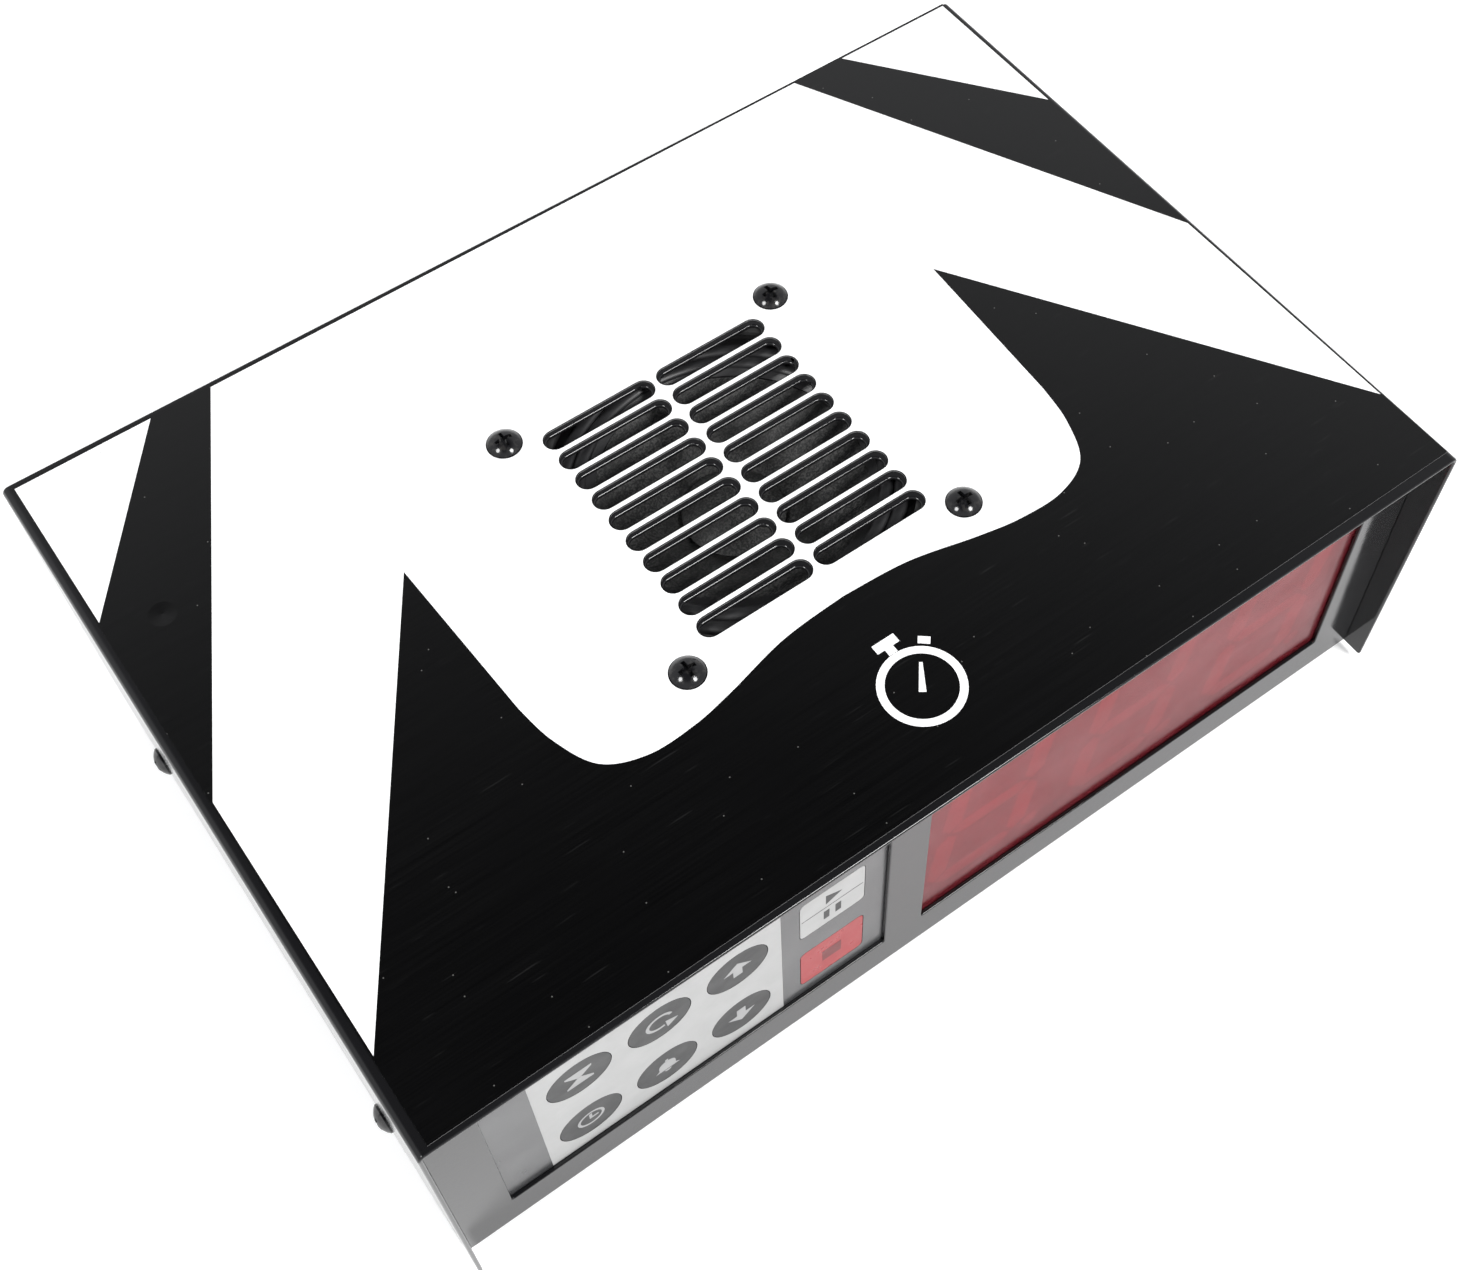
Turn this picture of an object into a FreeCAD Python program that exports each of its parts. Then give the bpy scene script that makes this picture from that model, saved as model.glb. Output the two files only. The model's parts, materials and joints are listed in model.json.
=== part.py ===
import FreeCAD, Part
import math
import os

V = FreeCAD.Vector

# Gym round timer: a folded-steel desk and wall clock with a speaker under a slotted top,
# a membrane keypad and three large LED digits behind a red window.
# Units are millimetres. +Z is up, the front faces -Y, and the origin is on the surface
# that the rubber feet stand on, below the middle of the case.

# ---- driving dimensions -------------------------------------------------------------
CASE_W = 300.0          # over the cover's two side walls
CASE_D = 207.0          # front edge of the hood to the rear edge of the cover
CASE_H = 99.3           # underside of the base to the top of the cover
SHEET = 1.2             # steel thickness of cover and chassis
BEND_R = 2.0            # outside radius of every bend
HOOD = 8.2              # how far the cover stands out past the front and rear panels
WALL_TAPER = 2.4        # how far the side walls' front and rear edges slope in at the bottom
FIT = 0.05              # gap left between parts that are screwed or glued together
OVERRUN = 1.0           # how far a cutting tool runs past each face

FOOT_H = 3.2
FOOT_R = 7.0
FOOT_X = 125.0
FOOT_Y = 76.0

SLOT_L = 30.8           # grille slots, end to end
SLOT_W = 4.2
SLOT_PITCH_X = 34.5
SLOT_PITCH_Y = 7.6
SLOT_ROWS = 10

OVERLAY_W = 295.4       # printed sheet on the cover, stuck on a little off square
OVERLAY_D = 204.0
OVERLAY_T = 0.25
OVERLAY_X = 0.6
OVERLAY_Y = 0.65
OVERLAY_TWIST = 0.26    # degrees
OVERLAY_MARGIN = 0.85   # how far its cut-outs stand back from each metal slot

SCREW_PITCH = 82.4      # square bolt pattern of a four-inch speaker
M4_R = 2.0
M4_HOLE_R = 2.25
HEAD_R = 4.45
HEAD_H = 2.6
SIDE_SCREW_Y = 61.0
SIDE_SCREW_UP = 19.3    # above the underside of the base
M3_HOLE_R = 1.65
STUD_R = 1.5            # keypad studs, M3
STUD_L = 8.0
STANDOFF_W = 5.0        # across the flats
STANDOFF_BORE_R = 1.25
KEYPAD_STUD_X = 54.0    # from the middle of each cut-out
DISPLAY_STUD_X = 66.0

OPENING_H = 64.0        # both front cut-outs
OPENING_UP = 15.0       # their lower edge above the underside of the base
KEYPAD_X = -78.1
KEYPAD_W = 113.3
DISPLAY_X = 61.6
DISPLAY_W = 141.7
OPENING_R = 0.6
LAP = 3.5               # how far the keypad's sheets reach behind the panel on each side
WINDOW_LAP = 3.0

KEY_R = 8.65            # the six round keys
KEY_PITCH_X = 22.1
KEY_COLUMN_X = -87.6    # middle column
KEY_ROW_UP = (58.5, 29.3)
SQUARE_KEY = 19.2       # start/pause and stop
SQUARE_KEY_X = -37.7
SQUARE_KEY_UP = (59.7, 30.2)
SQUARE_KEY_CORNER = 1.6
KEY_GAP = 0.2
SHEET_CORNER = 1.5
KEY_T = 0.5
KEY_TRAVEL = 0.4
FILM_T = 0.25
BOARD_T = 1.6
DOME_R = 4.0
DOME_H = 0.6
SPACER_T = KEY_TRAVEL + DOME_H + 1.0

DIGIT_W = 47.5          # 2.3-inch seven-segment modules
DIGIT_H = 69.8
DIGIT_T = 11.8
DIGIT_PITCH = 47.6
DIGIT_X = 61.0
DIGIT_UP = 47.8
FIGURE_H = 57.0
FIGURE_W = 33.0
SEGMENT_W = 6.4
SEGMENT_SLANT = 8.0     # degrees
SEGMENT_DEPTH = 1.0
POINT_R = 2.8
WINDOW_T = 1.3
WINDOW_SET = 1.4        # window face behind the panel's face

SPEAKER_FLANGE = 102.0
SPEAKER_T = 1.2
BASKET_BORE_R = 47.0
CONE_R = 37.3
CONE_TRAVEL = 2.0
COIL_R = 10.05
MAGNET_R = 35.0
MAGNET_H = 15.0

KEYHOLE_X = 100.0       # the two wall-hanging keyholes
KEYHOLE_UP = 72.0
KEYHOLE_R = 4.25
KEYHOLE_NECK_R = 2.25
KEYHOLE_L = 10.0

SWITCH_X = -112.0       # rocker switch and DC inlet, on the rear panel
SWITCH_W = 18.8
SWITCH_H = 12.8
INLET_X = -82.0
INLET_R = 3.95
REAR_UP = 26.0

# ---- levels worked out from them ----------------------------------------------------
BASE_Z = FOOT_H
TOP_Z = BASE_Z + CASE_H
PLATE_Z = TOP_Z - SHEET                 # underside of the cover's top plate
FLOOR_Z = BASE_Z + SHEET                # upper face of the base
SIDE_X = CASE_W / 2
FRONT_Y = -CASE_D / 2
PANEL_Y = FRONT_Y + HOOD                # outer face of the front panel
BEHIND_Y = PANEL_Y + SHEET              # inner face of the front panel
REAR_Y = -PANEL_Y                       # outer face of the rear panel
CHASSIS_X = SIDE_X - SHEET - FIT        # outer face of the chassis's side flanges
OPENING_Z = BASE_Z + OPENING_UP + OPENING_H / 2
FILM_Y = BEHIND_Y + FIT
SPACER_Y = FILM_Y + FILM_T
KEYPAD_BOARD_Y = SPACER_Y + SPACER_T
WINDOW_Y = PANEL_Y + WINDOW_SET
DIGIT_Y = WINDOW_Y + WINDOW_T + 0.2
DISPLAY_BOARD_Y = DIGIT_Y + DIGIT_T
DIGIT_Z = BASE_Z + DIGIT_UP
STUD_Z = (BASE_Z + 8.5, TOP_Z - 12.0)   # rows of fixings above and below the cut-outs
FRONT_BOARD_H = STUD_Z[1] - STUD_Z[0] + 8.0
CHASSIS_TOP_Z = PLATE_Z - 0.6


# ---- helpers ------------------------------------------------------------------------
def box(x0, x1, y0, y1, z0, z1):
    return Part.makeBox(x1 - x0, y1 - y0, z1 - z0, V(x0, y0, z0))


def rod(radius, start, direction, length):
    return Part.makeCylinder(radius, length, V(*start), V(*direction))


def ring(outer, inner, z0, z1):
    tube = Part.makeCylinder(outer, z1 - z0, V(0, 0, z0))
    return tube.cut(Part.makeCylinder(inner, z1 - z0, V(0, 0, z0)))


def prism(points, direction):
    """A polygon given in 3D, pushed along a direction."""
    corners = [V(*p) for p in points]
    return Part.Face(Part.makePolygon(corners + corners[:1])).extrude(V(*direction))


def turned(points):
    """A profile of (radius, z) points, turned about Z."""
    corners = [V(r, 0, z) for r, z in points]
    face = Part.Face(Part.makePolygon(corners + corners[:1]))
    return face.revolve(V(0, 0, 0), V(0, 0, 1), 360)


def joined(shapes):
    return shapes[0].multiFuse(shapes[1:]).removeSplitter()


def moved(shape, x=0.0, y=0.0, z=0.0):
    copy = shape.copy()
    copy.translate(V(x, y, z))
    return copy


def group(shapes):
    return Part.makeCompound(shapes)


def edges_along(shape, axis, test):
    """Straight edges along one axis whose midpoints pass a test."""
    found = []
    for edge in shape.Edges:
        if edge.Curve.TypeId != "Part::GeomLine":
            continue
        direction = edge.tangentAt(edge.FirstParameter)
        if abs(abs(direction.dot(axis)) - 1) < 1e-6 and test(edge.CenterOfMass):
            found.append(edge)
    return found


def slab_y(x, z, width, height, corner, y0, thickness):
    """A round-cornered plate that faces -Y."""
    plate = box(x - width / 2, x + width / 2, y0, y0 + thickness, z - height / 2, z + height / 2)
    return plate.makeFillet(corner, edges_along(plate, V(0, 1, 0), lambda p: True))


def slot_z(x, y, length, width, z0, height):
    """A round-ended slot that lies along X."""
    straight = length / 2 - width / 2
    middle = box(x - straight, x + straight, y - width / 2, y + width / 2, z0, z0 + height)
    ends = [rod(width / 2, (x + s * straight, y, z0), (0, 0, 1), height) for s in (-1, 1)]
    return joined([middle] + ends)


def folded(outline, outer_bends, along, length):
    """A strip of sheet: an outline of its cross-section with its bends rounded, pushed along an axis."""
    body = prism(outline, [c * length for c in along])
    axis = V(*along)

    def is_bend(middle):
        return any((middle - V(*bend)).cross(axis).Length < 0.01 for bend in outer_bends)

    return body.makeFillet(BEND_R, edges_along(body, axis, is_bend))


def smooth_path(points, radius):
    """Straight runs joined by tangent arcs of one radius."""
    nodes = [V(*p) for p in points]
    edges = []
    start = nodes[0]
    for before, corner, after in zip(nodes, nodes[1:], nodes[2:]):
        a = (corner - before).normalize()
        b = (after - corner).normalize()
        turn = a.getAngle(b)
        reach = radius * math.tan(turn / 2)
        entry = corner - a * reach
        leave = corner + b * reach
        normal = (b - a * a.dot(b)).normalize()
        centre = entry + normal * radius
        middle = centre + ((entry - centre) + (leave - centre)).normalize() * radius
        edges.append(Part.LineSegment(start, entry).toShape())
        edges.append(Part.Arc(entry, middle, leave).toShape())
        start = leave
    edges.append(Part.LineSegment(start, nodes[-1]).toShape())
    return Part.Wire(edges)


def lead(points, bend, radius):
    """A round wire along a path."""
    path = smooth_path(points, bend)
    first = V(*points[0])
    direction = V(*points[1]) - first
    circle = Part.Wire(Part.makeCircle(radius, first, direction))
    return path.makePipeShell([circle], True, False)


def ribbon(points, bend, width, thickness):
    """A flat cable, wide along X, along a path in a plane of constant X."""
    path = smooth_path(points, bend)
    first = V(*points[0])
    direction = (V(*points[1]) - first).normalize()
    across = V(1, 0, 0) * (width / 2)
    flat = direction.cross(V(1, 0, 0)) * (thickness / 2)
    corners = [first + across + flat, first - across + flat, first - across - flat, first + across - flat]
    section = Part.makePolygon(corners + corners[:1])
    return path.makePipeShell([section], True, False)


def screw(shank_r, length, head_r, head_h, rim=0.5):
    """A domed Phillips screw that points down, its head's underside at z = 0."""
    rise = head_h - rim
    sphere_r = (head_r ** 2 + rise ** 2) / (2 * rise)
    dome = Part.makeSphere(sphere_r, V(0, 0, head_h - sphere_r))
    head = dome.common(Part.makeCylinder(head_r, head_h + 1, V(0, 0, 0)))
    body = joined([head, Part.makeCylinder(shank_r, length, V(0, 0, -length))])
    recess_r = head_r * 0.52
    depth = head_h * 0.62
    blade = head_r * 0.24
    cross = [
        box(-recess_r, recess_r, -blade / 2, blade / 2, head_h - depth, head_h + 1),
        box(-blade / 2, blade / 2, -recess_r, recess_r, head_h - depth, head_h + 1),
    ]
    return body.cut(joined(cross))


def hex_nut(across_flats, bore_r, height):
    corner_r = across_flats / math.sqrt(3)
    points = []
    for k in range(6):
        angle = math.radians(60 * k + 30)
        points.append((corner_r * math.cos(angle), corner_r * math.sin(angle), 0))
    return prism(points, (0, 0, height)).cut(Part.makeCylinder(bore_r, height))


def turned_to(shape, axis, at):
    """Turn a part made along +Z so that it points along an axis, and put it at a point."""
    copy = shape.copy()
    rotation = FreeCAD.Rotation(V(0, 0, 1), V(*axis))
    copy.Placement = FreeCAD.Placement(V(*at), rotation)
    return copy


def four(pitch_x, pitch_y):
    return [(sx * pitch_x / 2, sy * pitch_y / 2) for sx in (-1, 1) for sy in (-1, 1)]


# ---- casing -------------------------------------------------------------------------
def side_screw_holes(half_width):
    """The two holes that run across the case through both side walls."""
    z = BASE_Z + SIDE_SCREW_UP
    length = 2 * (half_width + OVERRUN)
    return [rod(M4_HOLE_R, (-length / 2, y, z), (1, 0, 0), length) for y in (-SIDE_SCREW_Y, SIDE_SCREW_Y)]


def grille_slots(length, width, z0, height):
    slots = []
    for column in (-0.5, 0.5):
        for row in range(SLOT_ROWS):
            y = (row - (SLOT_ROWS - 1) / 2) * SLOT_PITCH_Y
            slots.append(slot_z(column * SLOT_PITCH_X, y, length, width, z0, height))
    return slots


def make_cover():
    """A sheet folded down at both sides, with the grille's slots and the screw holes."""
    x, z0, z1 = SIDE_X, BASE_Z, TOP_Z
    outline = [
        (-x, FRONT_Y, z0), (-x, FRONT_Y, z1), (x, FRONT_Y, z1), (x, FRONT_Y, z0),
        (x - SHEET, FRONT_Y, z0), (x - SHEET, FRONT_Y, z1 - SHEET),
        (-x + SHEET, FRONT_Y, z1 - SHEET), (-x + SHEET, FRONT_Y, z0),
    ]
    cover = folded(outline, [(-x, 0, z1), (x, 0, z1)], (0, 1, 0), CASE_D)
    inner = edges_along(cover, V(0, 1, 0), lambda p: abs(p.z - PLATE_Z) < 0.01)
    cover = cover.makeFillet(BEND_R - SHEET, inner)
    for side in (-1, 1):
        edge = side * -FRONT_Y
        start_x = -x - OVERRUN
        wedge = [(start_x, edge, z1 - BEND_R), (start_x, edge, z0), (start_x, edge - side * WALL_TAPER, z0)]
        cover = cover.cut(prism(wedge, (CASE_W + 2 * OVERRUN, 0, 0)))
    holes = grille_slots(SLOT_L, SLOT_W, PLATE_Z - OVERRUN, SHEET + 2 * OVERRUN)
    for hx, hy in four(SCREW_PITCH, SCREW_PITCH):
        holes.append(rod(M4_HOLE_R, (hx, hy, PLATE_Z - OVERRUN), (0, 0, 1), SHEET + 2 * OVERRUN))
    return cover.cut(group(holes + side_screw_holes(x)))


def make_top_overlay():
    """The printed sheet, with a cut-out round every slot and screw head."""
    sheet = box(-OVERLAY_W / 2, OVERLAY_W / 2, -OVERLAY_D / 2, OVERLAY_D / 2, TOP_Z, TOP_Z + OVERLAY_T)
    grown = 2 * OVERLAY_MARGIN
    z0, height = TOP_Z - OVERRUN, OVERLAY_T + 2 * OVERRUN
    sheet = sheet.cut(group(grille_slots(SLOT_L + grown, SLOT_W + grown, z0, height)))
    sheet.rotate(V(0, 0, 0), V(0, 0, 1), OVERLAY_TWIST)
    sheet.translate(V(OVERLAY_X, OVERLAY_Y, 0))
    hole_r = HEAD_R + 0.25
    holes = [rod(hole_r, (x, y, z0), (0, 0, 1), height) for x, y in four(SCREW_PITCH, SCREW_PITCH)]
    return sheet.cut(group(holes))


def keyhole(x):
    """A round entry with a narrow neck above it, for hanging the timer on a screw."""
    z = BASE_Z + KEYHOLE_UP
    y0, y1 = REAR_Y - SHEET - OVERRUN, REAR_Y + OVERRUN
    entry = rod(KEYHOLE_R, (x, y0, z), (0, 1, 0), y1 - y0)
    neck = box(x - KEYHOLE_NECK_R, x + KEYHOLE_NECK_R, y0, y1, z, z + KEYHOLE_L)
    seat = rod(KEYHOLE_NECK_R, (x, y0, z + KEYHOLE_L), (0, 1, 0), y1 - y0)
    return joined([entry, neck, seat])


def front_fixings():
    """Middle points of the keypad's studs and the display's standoffs."""
    keypad = [(KEYPAD_X + s * KEYPAD_STUD_X, z) for s in (-1, 1) for z in STUD_Z]
    display = [(DISPLAY_X + s * DISPLAY_STUD_X, z) for s in (-1, 1) for z in STUD_Z]
    return keypad, display


def chassis_cuts():
    """The openings in the front and rear panels and the screw holes in the side flanges."""
    front = PANEL_Y - OVERRUN
    depth = SHEET + 2 * OVERRUN
    rear = REAR_Y - SHEET - OVERRUN
    z = BASE_Z + REAR_UP
    w, h = SWITCH_W / 2 + 0.2, SWITCH_H / 2 + 0.2
    return [
        slab_y(KEYPAD_X, OPENING_Z, KEYPAD_W, OPENING_H, OPENING_R, front, depth),
        slab_y(DISPLAY_X, OPENING_Z, DISPLAY_W, OPENING_H, OPENING_R, front, depth),
        keyhole(-KEYHOLE_X),
        keyhole(KEYHOLE_X),
        box(SWITCH_X - w, SWITCH_X + w, rear, rear + depth, z - h, z + h),
        rod(INLET_R + 0.15, (INLET_X, rear, z), (0, 1, 0), depth),
    ] + side_screw_holes(CHASSIS_X)


def make_chassis():
    """Front panel, base and rear panel folded from one sheet, with a low flange along each side."""
    x, z0, z1 = CHASSIS_X, BASE_Z, CHASSIS_TOP_Z
    outline = [
        (-x, PANEL_Y, z1), (-x, PANEL_Y, z0), (-x, REAR_Y, z0), (-x, REAR_Y, z1),
        (-x, REAR_Y - SHEET, z1), (-x, REAR_Y - SHEET, FLOOR_Z), (-x, BEHIND_Y, FLOOR_Z), (-x, BEHIND_Y, z1),
    ]
    body = folded(outline, [(0, PANEL_Y, z0), (0, REAR_Y, z0)], (1, 0, 0), 2 * x)

    def is_inner_bend(middle):
        return abs(middle.z - FLOOR_Z) < 0.01 and abs(abs(middle.y) + BEHIND_Y) < 0.01

    body = body.makeFillet(BEND_R - SHEET, edges_along(body, V(1, 0, 0), is_inner_bend))
    flange_y, flange_h = 80.0, 30.0
    flanges = []
    for side in (-1, 1):
        low, high = sorted((side * x, side * (x - SHEET)))
        flanges.append(box(low, high, -flange_y, flange_y, z0, z0 + flange_h))
    return joined([body] + flanges).cut(group(chassis_cuts()))


def make_foot(x, y):
    """A stuck-on rubber foot, a little narrower at the floor."""
    draft, rim_r = 0.8, 0.6
    cone = Part.makeCone(FOOT_R - draft, FOOT_R, FOOT_H, V(x, y, 0))
    floor_rim = [e for e in cone.Edges if e.Closed and abs(e.CenterOfMass.z) < 0.01]
    return cone.makeFillet(rim_r, floor_rim)


def make_cover_screws():
    length = 7.0
    template = screw(M4_R, length, HEAD_R - 0.3, HEAD_H - 0.2)
    screws = []
    for side in (-1, 1):
        for y in (-SIDE_SCREW_Y, SIDE_SCREW_Y):
            screws.append(turned_to(template, (side, 0, 0), (side * SIDE_X, y, BASE_Z + SIDE_SCREW_UP)))
    return group(screws)


def make_cover_nuts():
    """Round press nuts behind the chassis's side flanges."""
    outer_r, height = 4.0, 2.6
    nut = Part.makeCylinder(outer_r, height).cut(Part.makeCylinder(M4_R + FIT, height))
    nuts = []
    for side in (-1, 1):
        for y in (-SIDE_SCREW_Y, SIDE_SCREW_Y):
            at = (side * (CHASSIS_X - SHEET), y, BASE_Z + SIDE_SCREW_UP)
            nuts.append(turned_to(nut, (-side, 0, 0), at))
    return group(nuts)


# ---- keypad -------------------------------------------------------------------------
def round_key_places():
    rows = [BASE_Z + up for up in KEY_ROW_UP]
    columns = [KEY_COLUMN_X + k * KEY_PITCH_X for k in (-1, 0, 1)]
    names = (("key_rest", "key_sets", "key_up"), ("key_work", "key_beep", "key_down"))
    return [(names[r][c], columns[c], rows[r]) for r in (0, 1) for c in (0, 1, 2)]


def square_key_places():
    return [("key_start_pause", SQUARE_KEY_X, BASE_Z + SQUARE_KEY_UP[0]),
            ("key_stop", SQUARE_KEY_X, BASE_Z + SQUARE_KEY_UP[1])]


def key_shapes(grow, y0, thickness):
    """Every key's outline, grown by a gap, as plates that face -Y."""
    plates = [rod(KEY_R + grow, (x, y0, z), (0, 1, 0), thickness) for _, x, z in round_key_places()]
    size = SQUARE_KEY + 2 * grow
    for _, x, z in square_key_places():
        plates.append(slab_y(x, z, size, size, SQUARE_KEY_CORNER + grow, y0, thickness))
    return plates


def make_keys():
    """Each key is a stiff cap with a small boss that presses on its dome switch."""
    boss_r, boss_l = 2.0, 0.35
    names = [name for name, _, _ in round_key_places() + square_key_places()]
    places = [(x, z) for _, x, z in round_key_places() + square_key_places()]
    keys = {}
    for name, (x, z), cap in zip(names, places, key_shapes(0.0, FILM_Y, KEY_T)):
        boss = rod(boss_r, (x, FILM_Y + KEY_T, z), (0, 1, 0), boss_l)
        keys[name] = joined([cap, boss])
    return keys


def keypad_sheet(y0, thickness, key_gap):
    """A sheet that covers the cut-out from behind, with a hole round every key."""
    sheet = slab_y(KEYPAD_X, OPENING_Z, KEYPAD_W + 2 * LAP, OPENING_H + 2 * LAP, SHEET_CORNER, y0, thickness)
    return sheet.cut(group(key_shapes(key_gap, y0 - OVERRUN, thickness + 2 * OVERRUN)))


def make_keypad_overlay():
    return keypad_sheet(FILM_Y, FILM_T, KEY_GAP)


def make_keypad_spacer():
    return keypad_sheet(SPACER_Y, SPACER_T, 0.5)


def drilled_board(x, width, y0, places):
    """An upright circuit board with a hole at each fixing."""
    board = slab_y(x, OPENING_Z, width, FRONT_BOARD_H, SHEET_CORNER, y0, BOARD_T)
    length = BOARD_T + 2 * OVERRUN
    return board.cut(group([rod(M3_HOLE_R, (hx, y0 - OVERRUN, hz), (0, 1, 0), length) for hx, hz in places]))


def make_keypad_board():
    return drilled_board(KEYPAD_X, KEYPAD_W + 2 * LAP, KEYPAD_BOARD_Y, front_fixings()[0])


def make_dome_switches():
    top_r = DOME_R * 0.55
    domes = []
    for _, x, z in round_key_places() + square_key_places():
        domes.append(Part.makeCone(DOME_R, top_r, DOME_H, V(x, KEYPAD_BOARD_Y, z), V(0, -1, 0)))
    return group(domes)


def make_keypad_studs():
    return group([rod(STUD_R, (x, BEHIND_Y, z), (0, 1, 0), STUD_L) for x, z in front_fixings()[0]])


def make_keypad_nuts():
    across_flats, height = 5.5, 2.4
    nut = hex_nut(across_flats, STUD_R + FIT, height)
    back = KEYPAD_BOARD_Y + BOARD_T
    return group([turned_to(nut, (0, 1, 0), (x, back, z)) for x, z in front_fixings()[0]])


# ---- display ------------------------------------------------------------------------
def window_plate(reach, corner, y0, thickness):
    """A plate that is larger than the display's cut-out by a reach on each side."""
    return slab_y(DISPLAY_X, OPENING_Z, DISPLAY_W + 2 * reach, OPENING_H + 2 * reach, corner, y0, thickness)


def make_display_window():
    return window_plate(WINDOW_LAP, 1.0, WINDOW_Y, WINDOW_T)


def make_window_gasket():
    depth = WINDOW_Y - BEHIND_Y - FIT
    outer = window_plate(WINDOW_LAP, 1.0, BEHIND_Y + FIT / 2, depth)
    return outer.cut(window_plate(0.8, OPENING_R, BEHIND_Y - OVERRUN, depth + 2 * OVERRUN))


def segment(cx, cz, angle, length, y0, depth):
    """One bar of a figure: a long hexagon that faces -Y."""
    half, tip = length / 2, SEGMENT_W / 2
    flat = half - tip
    outline = [(-half, 0), (-flat, tip), (flat, tip), (half, 0), (flat, -tip), (-flat, -tip)]
    turn = math.radians(angle)
    points = []
    for u, w in outline:
        points.append((cx + u * math.cos(turn) - w * math.sin(turn), y0,
                       cz + u * math.sin(turn) + w * math.cos(turn)))
    return prism(points, (0, depth, 0))


def figure_bars(y0, depth, shrink):
    """The seven bars and the point of a figure whose middle is at x = 0, z = 0."""
    wide = (FIGURE_W - SEGMENT_W) / 2
    tall = (FIGURE_H - SEGMENT_W) / 2
    lean = math.tan(math.radians(SEGMENT_SLANT))
    between = 1.2
    along = 2 * wide - between - shrink
    upright = tall - between - shrink
    bars = [segment(level * tall * lean, level * tall, 0, along, y0, depth) for level in (-1, 0, 1)]
    for side in (-1, 1):
        for level in (-0.5, 0.5):
            x = side * wide + level * tall * lean
            bars.append(segment(x, level * tall, 90 - SEGMENT_SLANT, upright, y0, depth))
    point_x = wide + 2 * POINT_R - tall * lean
    bars.append(rod(POINT_R - shrink / 2, (point_x, y0, -tall), (0, 1, 0), depth))
    return bars


def make_digit_case(x):
    """A module's block, with a pocket for each light bar in its face."""
    w, h = DIGIT_W / 2, DIGIT_H / 2
    case = box(x - w, x + w, DIGIT_Y, DISPLAY_BOARD_Y, DIGIT_Z - h, DIGIT_Z + h)
    pockets = figure_bars(DIGIT_Y - OVERRUN, SEGMENT_DEPTH + OVERRUN, 0.0)
    return case.cut(group([moved(bar, x, 0, DIGIT_Z) for bar in pockets]))


def digit_places():
    return [DIGIT_X + k * DIGIT_PITCH for k in (-1, 0, 1)]


def make_digit_segments():
    bars = figure_bars(DIGIT_Y + FIT, SEGMENT_DEPTH - FIT, 2 * FIT)
    return group([moved(bar, x, 0, DIGIT_Z) for x in digit_places() for bar in bars])


def make_display_board():
    return drilled_board(DISPLAY_X, DISPLAY_W + 2.0, DISPLAY_BOARD_Y, front_fixings()[1])


def make_display_standoffs():
    standoff = hex_nut(STANDOFF_W, STANDOFF_BORE_R, DISPLAY_BOARD_Y - BEHIND_Y)
    return group([turned_to(standoff, (0, 1, 0), (x, BEHIND_Y, z)) for x, z in front_fixings()[1]])


# ---- speaker ------------------------------------------------------------------------
GASKET_T = 1.2
GASKET_Z = PLATE_Z - GASKET_T
FLANGE_Z = GASKET_Z - SPEAKER_T
SHELF_Z = FLANGE_Z - 1.4                # ledge that holds the surround
SPIDER_Z = SHELF_Z - 20.0
BASKET_Z = SPIDER_Z - 7.0               # underside of the basket
POLE_Z = BASKET_Z - 4.0                 # underside of the front plate
MAGNET_Z = POLE_Z - MAGNET_H
PLATE_R = 30.0                          # front and back plates
BACK_PLATE_T = 4.0


def square_flange(size, bore_r, z0, thickness):
    """A square frame with round corners, a round opening and the four screw holes."""
    corner_r = 9.0
    plate = box(-size / 2, size / 2, -size / 2, size / 2, z0, z0 + thickness)
    plate = plate.makeFillet(corner_r, edges_along(plate, V(0, 0, 1), lambda p: True))
    holes = [Part.makeCylinder(bore_r, thickness, V(0, 0, z0))]
    for x, y in four(SCREW_PITCH, SCREW_PITCH):
        holes.append(Part.makeCylinder(M4_HOLE_R, thickness, V(x, y, z0)))
    return plate.cut(group(holes))


def make_speaker_gasket():
    return square_flange(SPEAKER_FLANGE, BASKET_BORE_R - 0.4, GASKET_Z, GASKET_T)


def make_speaker_basket():
    """A pressed steel frame with a square flange, ledges for surround and spider, and four windows."""
    t, bore_r, wall_r = SPEAKER_T, BASKET_BORE_R, 30.3
    flange = square_flange(SPEAKER_FLANGE, bore_r, FLANGE_Z, t)
    bowl = turned([
        (bore_r + t, FLANGE_Z + t), (bore_r + t, SHELF_Z - t), (44.5, SHELF_Z - t), (wall_r + t, SPIDER_Z),
        (wall_r + t, BASKET_Z), (12.5, BASKET_Z), (12.5, BASKET_Z + t), (wall_r, BASKET_Z + t),
        (wall_r, SPIDER_Z - t), (26.0, SPIDER_Z - t), (26.0, SPIDER_Z), (wall_r - 0.1, SPIDER_Z),
        (43.3, SHELF_Z), (bore_r, SHELF_Z), (bore_r, FLANGE_Z + t),
    ])
    half_w = 13.0
    window = box(-half_w, half_w, 20, 60, SPIDER_Z + 3, SHELF_Z - 3)
    windows = []
    for quarter in range(4):
        copy = window.copy()
        copy.rotate(V(0, 0, 0), V(0, 0, 1), 90 * quarter)
        windows.append(copy)
    return joined([flange, bowl]).cut(group(windows))


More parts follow.
